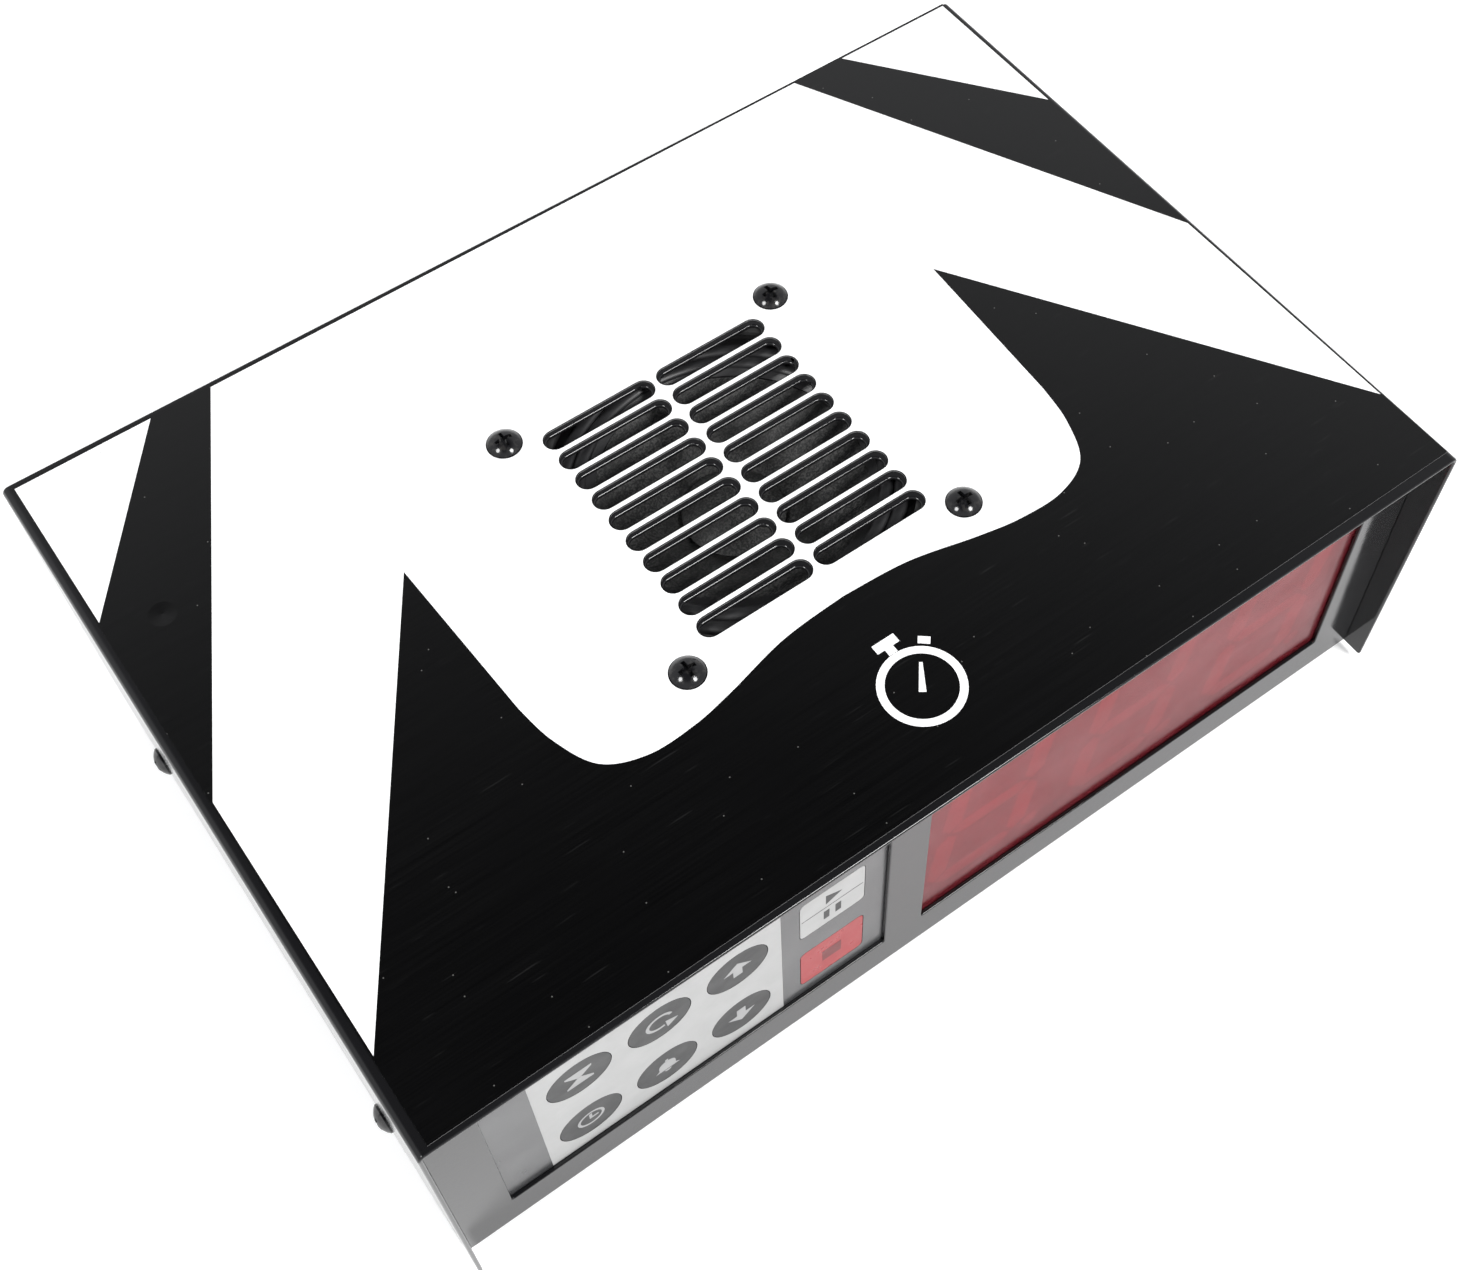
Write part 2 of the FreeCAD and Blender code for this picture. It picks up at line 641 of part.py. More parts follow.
def rolled_ring(inner, outer, waves, z0, rise, thickness):
    """A flexible ring with flat lips and round ridges between them."""
    lip, steps = 2.2, 6
    span = (outer - inner - 2 * lip) / waves
    upper = []
    for wave in range(waves):
        for step in range(steps + 1):
            turn = math.pi * step / steps
            r = inner + lip + wave * span + span * (1 - math.cos(turn)) / 2
            upper.append((r, z0 + thickness + rise * math.sin(turn)))
    lower = [(r, z - thickness) for r, z in reversed(upper)]
    inner_edge = [(inner, z0), (inner, z0 + thickness)]
    outer_edge = [(outer, z0 + thickness), (outer, z0)]
    profile = inner_edge + upper + outer_edge + lower
    clean = [p for k, p in enumerate(profile) if k == 0 or math.dist(p, profile[k - 1]) > 1e-6]
    return turned(clean)


def make_speaker_surround():
    return rolled_ring(34.6, 46.8, 2, SHELF_Z, 1.5, 0.6)


def make_speaker_spider():
    return rolled_ring(COIL_R + 0.8, 29.6, 4, SPIDER_Z, 1.0, 0.5)


def make_speaker_cone():
    z1 = SHELF_Z - 0.3
    z0 = SPIDER_Z + 4.5
    neck = COIL_R + 0.35
    t = 0.8
    outer = [(CONE_R, z1), (CONE_R - 2.4, z1), (25.0, z1 - 5.6), (neck + 2.4, z0 + 1.2), (neck, z0)]
    inner = [(neck, z0 - t), (neck + 2.7, z0 + 0.3), (25.5, z1 - 6.6), (CONE_R - 2.2, z1 - t),
             (CONE_R, z1 - t)]
    return turned(outer + inner)


def make_speaker_dust_cap():
    radius, rise, t = 13.5, 4.6, 0.6
    z0 = SPIDER_Z + 8.0
    sphere_r = (radius ** 2 + rise ** 2) / (2 * rise)
    centre = V(0, 0, z0 + rise - sphere_r)
    shell = Part.makeSphere(sphere_r, centre).cut(Part.makeSphere(sphere_r - t, centre))
    return shell.common(Part.makeCylinder(radius, rise + 1, V(0, 0, z0)))


def make_voice_coil():
    z0 = MAGNET_Z + CONE_TRAVEL + 5.0
    z1 = SPIDER_Z + 6.0
    bore_r, winding_h = COIL_R - 0.15, 9.0
    former = ring(COIL_R + 0.1, bore_r, z0, z1)
    winding = ring(COIL_R + 0.3, bore_r, z0, z0 + winding_h)
    return joined([former, winding])


def make_speaker_front_plate():
    return ring(PLATE_R, 11.0, POLE_Z, BASKET_Z)


def make_speaker_magnet():
    return ring(MAGNET_R, 16.0, MAGNET_Z, POLE_Z)


def make_speaker_back_plate():
    plate = Part.makeCylinder(PLATE_R, BACK_PLATE_T, V(0, 0, MAGNET_Z - BACK_PLATE_T))
    pole = Part.makeCylinder(COIL_R - 0.6, BASKET_Z - MAGNET_Z, V(0, 0, MAGNET_Z))
    return joined([plate, pole])


def make_speaker_screws():
    length = 12.0
    template = screw(M4_R, length, HEAD_R, HEAD_H)
    return group([moved(template, x, y, TOP_Z) for x, y in four(SCREW_PITCH, SCREW_PITCH)])


def make_speaker_nuts():
    across_flats, height = 7.0, 3.2
    nut = hex_nut(across_flats, M4_R + FIT, height)
    return group([moved(nut, x, y, FLANGE_Z - height) for x, y in four(SCREW_PITCH, SCREW_PITCH)])


# ---- control board ------------------------------------------------------------------
BOARD_X, BOARD_Y = 10.0, 28.0
BOARD_W, BOARD_D = 136.0, 84.0
BOARD_Z = FLOOR_Z + 6.0
CHIP_Z = BOARD_Z + BOARD_T
HEATSINK_X = BOARD_X - 56.0
HEATSINK_T = 2.0
HEATSINK_D = 28.0
LEG_PITCH = 2.54                        # legs and plug pins, a tenth of an inch


def board_fixings():
    inset = 4.5
    return [(BOARD_X + x, BOARD_Y + y) for x, y in four(BOARD_W - 2 * inset, BOARD_D - 2 * inset)]


def make_control_board():
    w, d, corner_r = BOARD_W / 2, BOARD_D / 2, 2.5
    board = box(BOARD_X - w, BOARD_X + w, BOARD_Y - d, BOARD_Y + d, BOARD_Z, CHIP_Z)
    board = board.makeFillet(corner_r, edges_along(board, V(0, 0, 1), lambda p: True))
    length = BOARD_T + 2 * OVERRUN
    holes = [rod(M3_HOLE_R, (x, y, BOARD_Z - OVERRUN), (0, 0, 1), length) for x, y in board_fixings()]
    return board.cut(group(holes))


def make_board_standoffs():
    standoff = hex_nut(STANDOFF_W, STANDOFF_BORE_R, BOARD_Z - FLOOR_Z)
    return group([moved(standoff, x, y, FLOOR_Z) for x, y in board_fixings()])


def make_board_screws():
    """The same small screws hold the control board and the display board."""
    template = screw(1.2, 5.0, 2.8, 2.0, 0.4)
    back = DISPLAY_BOARD_Y + BOARD_T
    screws = [moved(template, x, y, CHIP_Z) for x, y in board_fixings()]
    screws += [turned_to(template, (0, 1, 0), (x, back, z)) for x, z in front_fixings()[1]]
    return group(screws)


def chip(x, y, length, width, height, pins):
    """A chip with two rows of pins, its long side along X."""
    gap, end, pin_w, pin_l, pin_t = 0.6, 1.5, 0.35, 1.2, 0.9
    half_l, half_w = length / 2, width / 2
    parts = [box(x - half_l, x + half_l, y - half_w, y + half_w, CHIP_Z + gap, CHIP_Z + gap + height)]
    pitch = (length - 2 * end) / (pins - 1)
    for k in range(pins):
        px = x - half_l + end + k * pitch
        reach = half_w + pin_l
        parts.append(box(px - pin_w, px + pin_w, y - reach, y + reach, CHIP_Z, CHIP_Z + pin_t))
    return joined(parts)


def make_microcontroller():
    return chip(BOARD_X - 14, BOARD_Y, 36.0, 13.0, 3.4, 14)


def make_driver_chips():
    """One driver for each digit, and the loudspeaker's amplifier."""
    chips = [chip(BOARD_X - 14 + 26 * k, BOARD_Y + 28, 18.0, 6.6, 3.0, 8) for k in (-1, 0, 1)]
    return group(chips + [chip(BOARD_X + 44, BOARD_Y - 10, 14.0, 6.6, 3.0, 6)])


def make_capacitors():
    """A row of four electrolytic cans."""
    radius, height, rim_r, pitch = 4.8, 14.0, 0.7, 11.5
    cans = []
    for k in range(4):
        x = BOARD_X + 26 + pitch * k
        can = Part.makeCylinder(radius, height, V(x, BOARD_Y + 12, CHIP_Z))
        rim = [e for e in can.Edges if e.Closed and abs(e.CenterOfMass.z - CHIP_Z - height) < 0.01]
        cans.append(can.makeFillet(rim_r, rim))
    return group(cans)


def make_heatsink():
    """An upright plate with six fins, which the voltage regulator leans on."""
    x0, y0, z1 = HEATSINK_X, BOARD_Y - HEATSINK_D / 2, CHIP_Z + 24.0
    fin_l, fins = 7.0, 6
    pitch = (HEATSINK_D - HEATSINK_T) / (fins - 1)
    parts = [box(x0, x0 + HEATSINK_T, y0, y0 + HEATSINK_D, CHIP_Z, z1)]
    for k in range(fins):
        y = y0 + pitch * k
        parts.append(box(x0 - fin_l, x0, y, y + HEATSINK_T, CHIP_Z, z1))
    return joined(parts)


def make_regulator():
    """A three-legged regulator that stands against the heatsink."""
    x0, half_w, body_z = HEATSINK_X + HEATSINK_T, 5.0, CHIP_Z + 5.0
    parts = [box(x0, x0 + 4.5, BOARD_Y - half_w, BOARD_Y + half_w, body_z, body_z + 9.0)]
    for offset in (-LEG_PITCH, 0, LEG_PITCH):
        y = BOARD_Y + offset
        parts.append(box(x0 + 1.5, x0 + 2.3, y - 0.4, y + 0.4, CHIP_Z, body_z))
    return joined(parts)


def header(x, y, z, pins):
    """A shrouded plug socket that opens upwards, its long side along X."""
    wall, half_d, height, floor_t = 1.0, 3.0, 7.0, 1.5
    half_w = pins * LEG_PITCH / 2 + 1.5
    shell = box(x - half_w, x + half_w, y - half_d, y + half_d, z, z + height)
    half_w, half_d = half_w - wall, half_d - wall
    return shell.cut(box(x - half_w, x + half_w, y - half_d, y + half_d, z + floor_t, z + height + OVERRUN))


HEADER_Y = BOARD_Y - BOARD_D / 2 + 7.0
TAIL_X = KEYPAD_X + 40.0                # keypad tail
RIBBON_X = DISPLAY_X - 8.0              # display ribbon
LEAD_X = 24.0                           # speaker lead


def make_board_headers():
    places = ((TAIL_X, 4), (RIBBON_X, 8), (LEAD_X, 2))
    return group([header(x, HEADER_Y, CHIP_Z, pins) for x, pins in places])


# ---- power and wiring ---------------------------------------------------------------
REAR_Z = BASE_Z + REAR_UP
ROCKER_AXIS_Y = REAR_Y - 0.5
ROCKER_TILT = 9.0
ROCKER_HALF = 7.0                       # half the paddle's width
PIVOT_R = 1.0
PIVOT_FIT = 0.1


def make_power_switch():
    """The switch's housing: a bezel outside the panel, a body behind it and two blade terminals."""
    bezel_w, bezel_h, bezel_t, body_d, tab_l = 21.4, 15.2, 1.6, 12.0, 7.0
    x, z, w, h = SWITCH_X, REAR_Z, SWITCH_W / 2, SWITCH_H / 2
    bezel = slab_y(x, z, bezel_w, bezel_h, 1.0, REAR_Y + FIT, bezel_t)
    body = box(x - w, x + w, REAR_Y - body_d, REAR_Y + FIT, z - h, z + h)
    well = box(x - ROCKER_HALF - 0.6, x + ROCKER_HALF + 0.6, REAR_Y - 6.5, REAR_Y + 5, z - 5.2, z + 5.2)
    pivot_hole = rod(PIVOT_R + PIVOT_FIT, (x, ROCKER_AXIS_Y, z - h), (0, 0, 1), 2 * h)
    tabs = []
    for offset in (-5.0, 5.0):
        tabs.append(box(x + offset - 2.4, x + offset + 2.4, REAR_Y - body_d - tab_l, REAR_Y - body_d,
                        z - 0.4, z + 0.4))
    return joined([joined([bezel, body]).cut(group([well, pivot_hole]))] + tabs)


def make_power_rocker():
    """A shallow V-shaped paddle that rocks on two pivot pins along Z, at rest in its off position."""
    x, y = SWITCH_X, ROCKER_AXIS_Y
    half_h, half_w = 4.9, ROCKER_HALF
    outline = [(-half_w, 2.9), (0.0, 1.9), (half_w, 2.9), (half_w, 0.9), (2.2, -2.2), (-2.2, -2.2),
               (-half_w, 0.9)]
    paddle = prism([(x + u, y + w, REAR_Z - half_h) for u, w in outline], (0, 0, 2 * half_h))
    paddle.rotate(V(x, y, 0), V(0, 0, 1), -ROCKER_TILT)
    pin_half = SWITCH_H / 2 - 0.3
    return joined([paddle, rod(PIVOT_R, (x, y, REAR_Z - pin_half), (0, 0, 1), 2 * pin_half)])


def inlet_rod(radius, behind, length):
    """A rod on the inlet's axis that starts a given way behind the rear panel's face."""
    return rod(radius, (INLET_X, REAR_Y - behind, REAR_Z), (0, 1, 0), length)


def make_dc_inlet():
    """A barrel socket with its thread through the rear panel, a flange outside and a contact pin inside."""
    flange_t, thread_l, rear_l, pin_l = 1.6, 9.0, 6.0, 9.0
    flange = inlet_rod(5.6, -FIT, flange_t)
    thread = inlet_rod(INLET_R, thread_l, thread_l + FIT)
    rear = inlet_rod(5.0, thread_l + rear_l, rear_l)
    bore = inlet_rod(2.9, thread_l, thread_l + flange_t + OVERRUN)
    pin = inlet_rod(1.0, thread_l + 0.5, pin_l)
    tip_y = REAR_Y - thread_l - 0.5 + pin_l
    tip = [e for e in pin.Edges if e.Closed and abs(e.CenterOfMass.y - tip_y) < 0.01]
    return joined([flange, thread, rear]).cut(bore).fuse(pin.makeFillet(0.5, tip)).removeSplitter()


def make_dc_inlet_nut():
    across_flats, height = 11.0, 2.2
    nut = hex_nut(across_flats, INLET_R + FIT, height)
    return turned_to(nut, (0, -1, 0), (INLET_X, REAR_Y - SHEET - FIT, REAR_Z))


def flat_cable(x, back, low_z, front_y, high_z, width, thickness):
    """A flat cable from the back of a front board, down, up again and over to its header."""
    plug_z = CHIP_Z + 1.7
    points = [(x, back, low_z), (x, front_y, low_z), (x, front_y, high_z), (x, HEADER_Y, high_z),
              (x, HEADER_Y, plug_z)]
    return ribbon(points, 4.0, width, thickness)


def make_display_ribbon():
    return flat_cable(RIBBON_X, DISPLAY_BOARD_Y + BOARD_T + FIT, 22.0, -60.0, 32.0, 18.0, 0.9)


def make_keypad_tail():
    return flat_cable(TAIL_X, KEYPAD_BOARD_Y + BOARD_T + FIT, 20.0, -64.0, 30.0, 9.0, 0.5)


def make_speaker_lead():
    """A thin lead from its header, forward, up in front of the magnet and in to the basket's wall."""
    x, front_y, low_z, high_z, wall_y = LEAD_X, -46.0, 34.0, 86.0, -31.6
    points = [(x, HEADER_Y, CHIP_Z + 1.8), (x, HEADER_Y, low_z), (x, front_y, low_z), (x, front_y, high_z),
              (x, wall_y, high_z)]
    return lead(points, 5.0, 1.1)


def make_power_leads():
    """Two wires from the switch's terminals, over the heatsink's end and down on to the board."""
    top, low, side_x, board_x = REAR_Z + 14.0, 16.0, -58.0, -53.5
    wires = []
    for offset in (-5.0, 5.0):
        x = SWITCH_X + offset
        terminal_y = REAR_Y - 19.5
        turn_y = terminal_y - 12.0
        board_y = turn_y - offset
        points = [(x, terminal_y, REAR_Z), (x, turn_y, REAR_Z), (x, turn_y, top), (side_x, board_y, top),
                  (side_x, board_y, low), (board_x, board_y, low)]
        wires.append(lead(points, 2.0, 0.9))
    return group(wires)


# ---- the whole timer ----------------------------------------------------------------
def all_parts():
    parts = {
        "cover": make_cover(),
        "top_overlay": make_top_overlay(),
        "chassis": make_chassis(),
        "cover_screws": make_cover_screws(),
        "cover_nuts": make_cover_nuts(),
        "keypad_overlay": make_keypad_overlay(),
        "keypad_spacer": make_keypad_spacer(),
        "keypad_board": make_keypad_board(),
        "dome_switches": make_dome_switches(),
        "keypad_studs": make_keypad_studs(),
        "keypad_nuts": make_keypad_nuts(),
        "digit_segments": make_digit_segments(),
        "display_window": make_display_window(),
        "window_gasket": make_window_gasket(),
        "display_board": make_display_board(),
        "display_standoffs": make_display_standoffs(),
        "speaker_gasket": make_speaker_gasket(),
        "speaker_basket": make_speaker_basket(),
        "speaker_surround": make_speaker_surround(),
        "speaker_cone": make_speaker_cone(),
        "speaker_dust_cap": make_speaker_dust_cap(),
        "speaker_spider": make_speaker_spider(),
        "voice_coil": make_voice_coil(),
        "speaker_front_plate": make_speaker_front_plate(),
        "speaker_magnet": make_speaker_magnet(),
        "speaker_back_plate": make_speaker_back_plate(),
        "speaker_screws": make_speaker_screws(),
        "speaker_nuts": make_speaker_nuts(),
        "control_board": make_control_board(),
        "board_standoffs": make_board_standoffs(),
        "board_screws": make_board_screws(),
        "microcontroller": make_microcontroller(),
        "driver_chips": make_driver_chips(),
        "capacitors": make_capacitors(),
        "heatsink": make_heatsink(),
        "regulator": make_regulator(),
        "board_headers": make_board_headers(),
        "power_switch": make_power_switch(),
        "power_rocker": make_power_rocker(),
        "dc_inlet": make_dc_inlet(),
        "dc_inlet_nut": make_dc_inlet_nut(),
        "display_ribbon": make_display_ribbon(),
        "keypad_tail": make_keypad_tail(),
        "speaker_lead": make_speaker_lead(),
        "power_leads": make_power_leads(),
    }
    parts.update(make_keys())
    for name, x in zip(("minutes", "tens", "seconds"), digit_places()):
        parts["digit_" + name] = make_digit_case(x)
    for end, sy in (("front", -1), ("rear", 1)):
        for side, sx in (("left", -1), ("right", 1)):
            parts["foot_" + end + "_" + side] = make_foot(sx * FOOT_X, sy * FOOT_Y)
    return parts


def main():
    os.makedirs("parts", exist_ok=True)
    for name, shape in all_parts().items():
        if not shape.isValid():
            print("not valid:", name)
        shape.exportStep("parts/" + name + ".step")


main()
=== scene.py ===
import json
import math

import bpy
from mathutils import Euler, Matrix, Vector


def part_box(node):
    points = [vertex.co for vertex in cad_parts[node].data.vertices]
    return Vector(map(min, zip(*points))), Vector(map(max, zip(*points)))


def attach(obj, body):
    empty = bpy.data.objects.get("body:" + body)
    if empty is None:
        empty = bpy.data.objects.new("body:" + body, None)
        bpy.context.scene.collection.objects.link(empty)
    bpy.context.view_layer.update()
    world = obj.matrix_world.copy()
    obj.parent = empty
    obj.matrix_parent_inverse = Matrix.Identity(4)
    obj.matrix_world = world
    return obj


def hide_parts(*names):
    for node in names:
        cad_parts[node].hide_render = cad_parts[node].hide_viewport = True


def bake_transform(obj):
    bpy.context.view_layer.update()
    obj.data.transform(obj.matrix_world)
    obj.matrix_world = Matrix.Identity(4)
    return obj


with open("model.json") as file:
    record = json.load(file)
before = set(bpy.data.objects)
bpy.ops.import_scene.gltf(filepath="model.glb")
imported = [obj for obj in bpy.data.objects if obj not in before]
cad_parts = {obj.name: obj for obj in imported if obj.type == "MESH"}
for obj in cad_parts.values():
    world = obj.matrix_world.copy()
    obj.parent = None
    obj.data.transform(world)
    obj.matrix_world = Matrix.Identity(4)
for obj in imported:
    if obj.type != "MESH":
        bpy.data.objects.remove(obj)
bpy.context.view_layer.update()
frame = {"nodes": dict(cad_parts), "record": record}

# Looks of the gym round timer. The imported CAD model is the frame: lengths below are in
# millimetres unless a name says otherwise, and MM turns them into the frame's metres.
MM = 0.001
NODES = frame["nodes"]

# ---- the printed sheet on top, in millimetres from the sheet's own middle ------------
SHEET_SHIFT = (0.6, 0.65)           # the sheet is stuck on a little off the cover's middle
SHEET_TWIST = math.radians(0.26)    # and a little off square
SHEET_HALF_W = 147.2                # as far as the white ink goes, just inside the cut edge
SHEET_HALF_D = 101.2
SLOT_L = 33.1                       # the hole in the ink round each slot of the grille
SLOT_W = 6.4
SLOT_PITCH_X = 34.5
SLOT_PITCH_Y = 7.6
SLOT_ROWS = 10
SCREW_HOLE_R = 4.7                  # and round each of the four screws, which form a square
SCREW_PITCH = 82.4
BAND_REAR_X = 93.0                  # where the dark corner band meets the rear edge
BAND_SIDE_Y = -6.0                  # and the side edge
CORNER_REAR_X = 110.0               # where the white corner starts on the rear edge
CORNER_SIDE_Y = 52.8                # and on the side edge
WEDGE_SIDE_Y = -79.0                # the dark front field's wedge, at the side edge
WEDGE_TIP = (81.4, 22.3)
# the white field's front edge, from its right end to the middle; the left half mirrors it
FRONT_CURVE = ((79.0, -26.5), (77.1, -38.0), (71.9, -49.3), (61.5, -54.1), (48.7, -54.1), (37.0, -52.0),
               (18.4, -47.6), (0.0, -46.3))
INK_T = 0.03
DENT_AT = (-0.1335, 0.0462, 0.10275)    # in metres
DENT_R = 3.5

# ---- the speaker's flexible rings: inner and outer radius, waves, rise, thickness -----
RINGS = (
    ("surround", 34.6, 46.8, 2, 1.5, 0.6, "surround_rubber"),
    ("spider", 10.85, 29.6, 4, 1.0, 0.5, "spider_cloth"),
)
RING_LIP = 2.2                      # the flat glued margin at both edges of a ring

# ---- keypad and display --------------------------------------------------------------
FIELD_X = (-122.3, -52.9)           # the keypad's white field
KEY_HOLE_GAP = 0.2
LEGEND_T = 0.03
FILM_REACH = 3.5                    # how far the keypad's film goes on behind the panel

# ---- rounded edges: node, radius, segments -------------------------------------------
ROUNDED = (
    ("cover", 0.55, 5),
    ("chassis", 0.35, 3),
    ("power_switch", 0.3, 2),
    ("power_rocker", 0.25, 2),
    ("heatsink", 0.15, 2),
    ("dc_inlet_nut", 0.15, 2),
)
SHARP_ANGLE = math.radians(35)      # an edge that turns more than this is rounded

# ---- camera and light, in metres and degrees -----------------------------------------
CAMERA_AT = (-0.15493, -0.24748, 0.50791)
CAMERA_TURN = (32.908, 0.326, -35.929)
CAMERA_LENS = 49.131
CAMERA_SHIFT = (-0.0479, -0.0442)
LAMPS = (                           # name, direction from the timer, watts
    ("lamp_front", (0.233, -0.638, 0.731), 22.0),
    ("lamp_left", (-0.679, 0.010, 0.731), 17.0),
)
LAMP_DISTANCE = 1.6
LAMP_SIZE = 0.5
AIM_HEIGHT = 0.05                   # the lamps face a point this high over the floor
FLOOR_SIZE = 5.0                    # from the middle to each side
FLOOR_DROP = 0.05 * MM              # the floor's face stays clear of the feet's
FLOOR_GLOW = 0.30                   # a lit table, which keeps shadows faint
FAR_GLOW = 0.72                     # its far end, which meets the bright sky
SKY_HIGH = 0.90                     # sine of the height above which the studio is dark
SKY_LOW = 0.64                      # and of the height under which it is bright
SKY_DARK = 0.01
SKY_BRIGHT = 0.80


# ---- node trees ----------------------------------------------------------------------
def as_colour(value):
    """A socket as it is, or a red, green and blue with its alpha."""
    if isinstance(value, bpy.types.NodeSocket):
        return value
    return (*value, 1.0)


class Finish:
    """One material, whose node tree is built a step at a time. Sizes are in metres."""

    def __init__(self, name):
        self.material = bpy.data.materials.new(name)
        self.material.use_nodes = True
        self.tree = self.material.node_tree
        self.tree.nodes.clear()
        self.place = self.add("ShaderNodeTexCoord").outputs["Object"]

    def add(self, kind, inputs=None, **settings):
        node = self.tree.nodes.new(kind)
        for key, value in settings.items():
            setattr(node, key, value)
        for key, value in (inputs or {}).items():
            self.feed(node.inputs[key], value)
        return node

    def feed(self, socket, value):
        if isinstance(value, bpy.types.NodeSocket):
            self.tree.links.new(value, socket)
        else:
            socket.default_value = value

    def stretched(self, factors, turn=(0.0, 0.0, 0.0)):
        """The object's coordinates, scaled along each axis, for streaks."""
        inputs = {"Vector": self.place, "Scale": factors, "Rotation": turn}
        return self.add("ShaderNodeMapping", inputs).outputs[0]

    def noise(self, size, detail=4.0, where=None, rough=0.55):
        inputs = {"Vector": where or self.place, "Scale": 1.0 / size, "Detail": detail, "Roughness": rough}
        return self.add("ShaderNodeTexNoise", inputs).outputs["Fac"]

    def cells(self, size, flat=False):
        """Distance from scattered points, in cells. Flat ones are scattered over the plan view."""
        inputs = {"Vector": self.place, "Scale": 1.0 / size}
        kind = "2D" if flat else "3D"
        return self.add("ShaderNodeTexVoronoi", inputs, voronoi_dimensions=kind).outputs["Distance"]

    def ranged(self, value, low, high, to_low, to_high):
        inputs = {"Value": value, "From Min": low, "From Max": high, "To Min": to_low, "To Max": to_high}
        return self.add("ShaderNodeMapRange", inputs).outputs["Result"]

    def maths(self, operation, a, b=0.0):
        node = self.add("ShaderNodeMath", operation=operation)
        self.feed(node.inputs[0], a)
        self.feed(node.inputs[1], b)
        return node.outputs[0]

    def mixed(self, share, a, b):
        node = self.add("ShaderNodeMix", data_type="RGBA")
        self.feed(node.inputs["Factor"], share)
        for letter, value in (("A", a), ("B", b)):
            socket = next(s for s in node.inputs if s.name == letter and s.type == "RGBA")
            self.feed(socket, as_colour(value))
        return next(s for s in node.outputs if s.type == "RGBA")

    def bump(self, height, depth, under=None):
        inputs = {"Height": height, "Distance": depth, "Strength": 1.0}
        if under is not None:
            inputs["Normal"] = under
        return self.add("ShaderNodeBump", inputs).outputs[0]

    def principled(self, colour, rough, normal=None, **sockets):
        inputs = {"Roughness": rough, "Base Color": as_colour(colour)}
        if normal is not None:
            inputs["Normal"] = normal
        shader = self.add("ShaderNodeBsdfPrincipled", inputs)
        for key, value in sockets.items():
            self.feed(shader.inputs[key.replace("_", " ")], value)
        return shader

    def done(self, shader):
        self.add("ShaderNodeOutputMaterial", {"Surface": shader.outputs[0]})
        return self.material


def scaled(colour, factor):
    return tuple(min(1.0, c * factor) for c in colour)


def plain(name, colour, rough, grain, depth, spread=0.12):
    """Soft blotches of colour and roughness under a fine surface grain, its sizes in millimetres."""
    f = Finish(name)
    tint = f.mixed(f.noise(25 * MM), scaled(colour, 1 - spread), scaled(colour, 1 + spread))
    uneven = f.ranged(f.noise(15 * MM, 6.0), 0.3, 0.7, rough - 0.06, rough + 0.06)
    return f.done(f.principled(tint, uneven, f.bump(f.noise(grain * MM, 3.0), depth * MM)))


# ---- materials -----------------------------------------------------------------------
def black_paint():
    """Gloss black powder coat on sheet steel: orange peel, faint haze and a few dust specks."""
    f = Finish("black_paint")
    haze = f.noise(60 * MM, 5.0)
    tint = f.mixed(haze, (0.0045, 0.0045, 0.005), (0.011, 0.011, 0.012))
    specks = f.ranged(f.cells(9 * MM), 0.0, 0.022, 1.0, 0.0)
    tint = f.mixed(specks, tint, (0.16, 0.16, 0.15))
    rough = f.ranged(f.noise(14 * MM, 6.0), 0.3, 0.7, 0.07, 0.13)
    peel = f.bump(f.noise(1.7 * MM, 2.0), 0.012 * MM)
    peel = f.bump(f.noise(0.35 * MM, 2.0), 0.0025 * MM, peel)
    return f.done(f.principled(tint, rough, peel, Specular_IOR_Level=0.38))


def print_black():
    """The printed sheet's black: a satin film with fine streaks, light scratches, dust and a dent.

    Its cut edge, where the faces don't look up, is painted pale grey: partly the edge's own paler look,
    partly a painted highlight."""
    f = Finish("print_black")
    streaks = f.noise(1.0, 3.0, f.stretched((22.0, 2400.0, 1.0)), 0.7)
    broad = f.noise(90 * MM, 4.0)
    tint = f.mixed(f.maths("MULTIPLY", streaks, broad), (0.0004, 0.0004, 0.0005), (0.0030, 0.0030, 0.0032))
    scratch = f.noise(1.0, 2.0, f.stretched((70.0, 1500.0, 1.0), (0.0, 0.0, math.radians(-38))), 0.4)
    scratch = f.ranged(scratch, 0.70, 0.78, 0.0, 1.0)
    tint = f.mixed(f.maths("MULTIPLY", scratch, 0.08), tint, (0.10, 0.10, 0.10))
    specks = f.ranged(f.cells(19 * MM, True), 0.003, 0.012, 1.0, 0.0)
    tint = f.mixed(specks, tint, (0.11, 0.11, 0.105))
    # the faces that don't look up, the film's cut edge, get pale grey: partly the edge's own paler look,
    # partly a painted highlight along the edge
    facing = f.add("ShaderNodeSeparateXYZ", {"Vector": f.add("ShaderNodeNewGeometry").outputs["True Normal"]})
    tint = f.mixed(f.ranged(facing.outputs["Z"], 0.3, 0.6, 1.0, 0.0), tint, (0.20, 0.20, 0.20))
    rough = f.ranged(streaks, 0.3, 0.7, 0.19, 0.25)
    normal = f.bump(streaks, 0.0008 * MM)
    normal = f.bump(f.noise(0.5 * MM, 2.0), 0.002 * MM, normal)
    dent = f.add("ShaderNodeVectorMath", {0: f.place, 1: DENT_AT}, operation="DISTANCE").outputs["Value"]
    normal = f.bump(f.ranged(dent, 0.0, DENT_R * MM, 0.0, 1.0), 0.12 * MM, normal)
    return f.done(f.principled(tint, rough, normal))


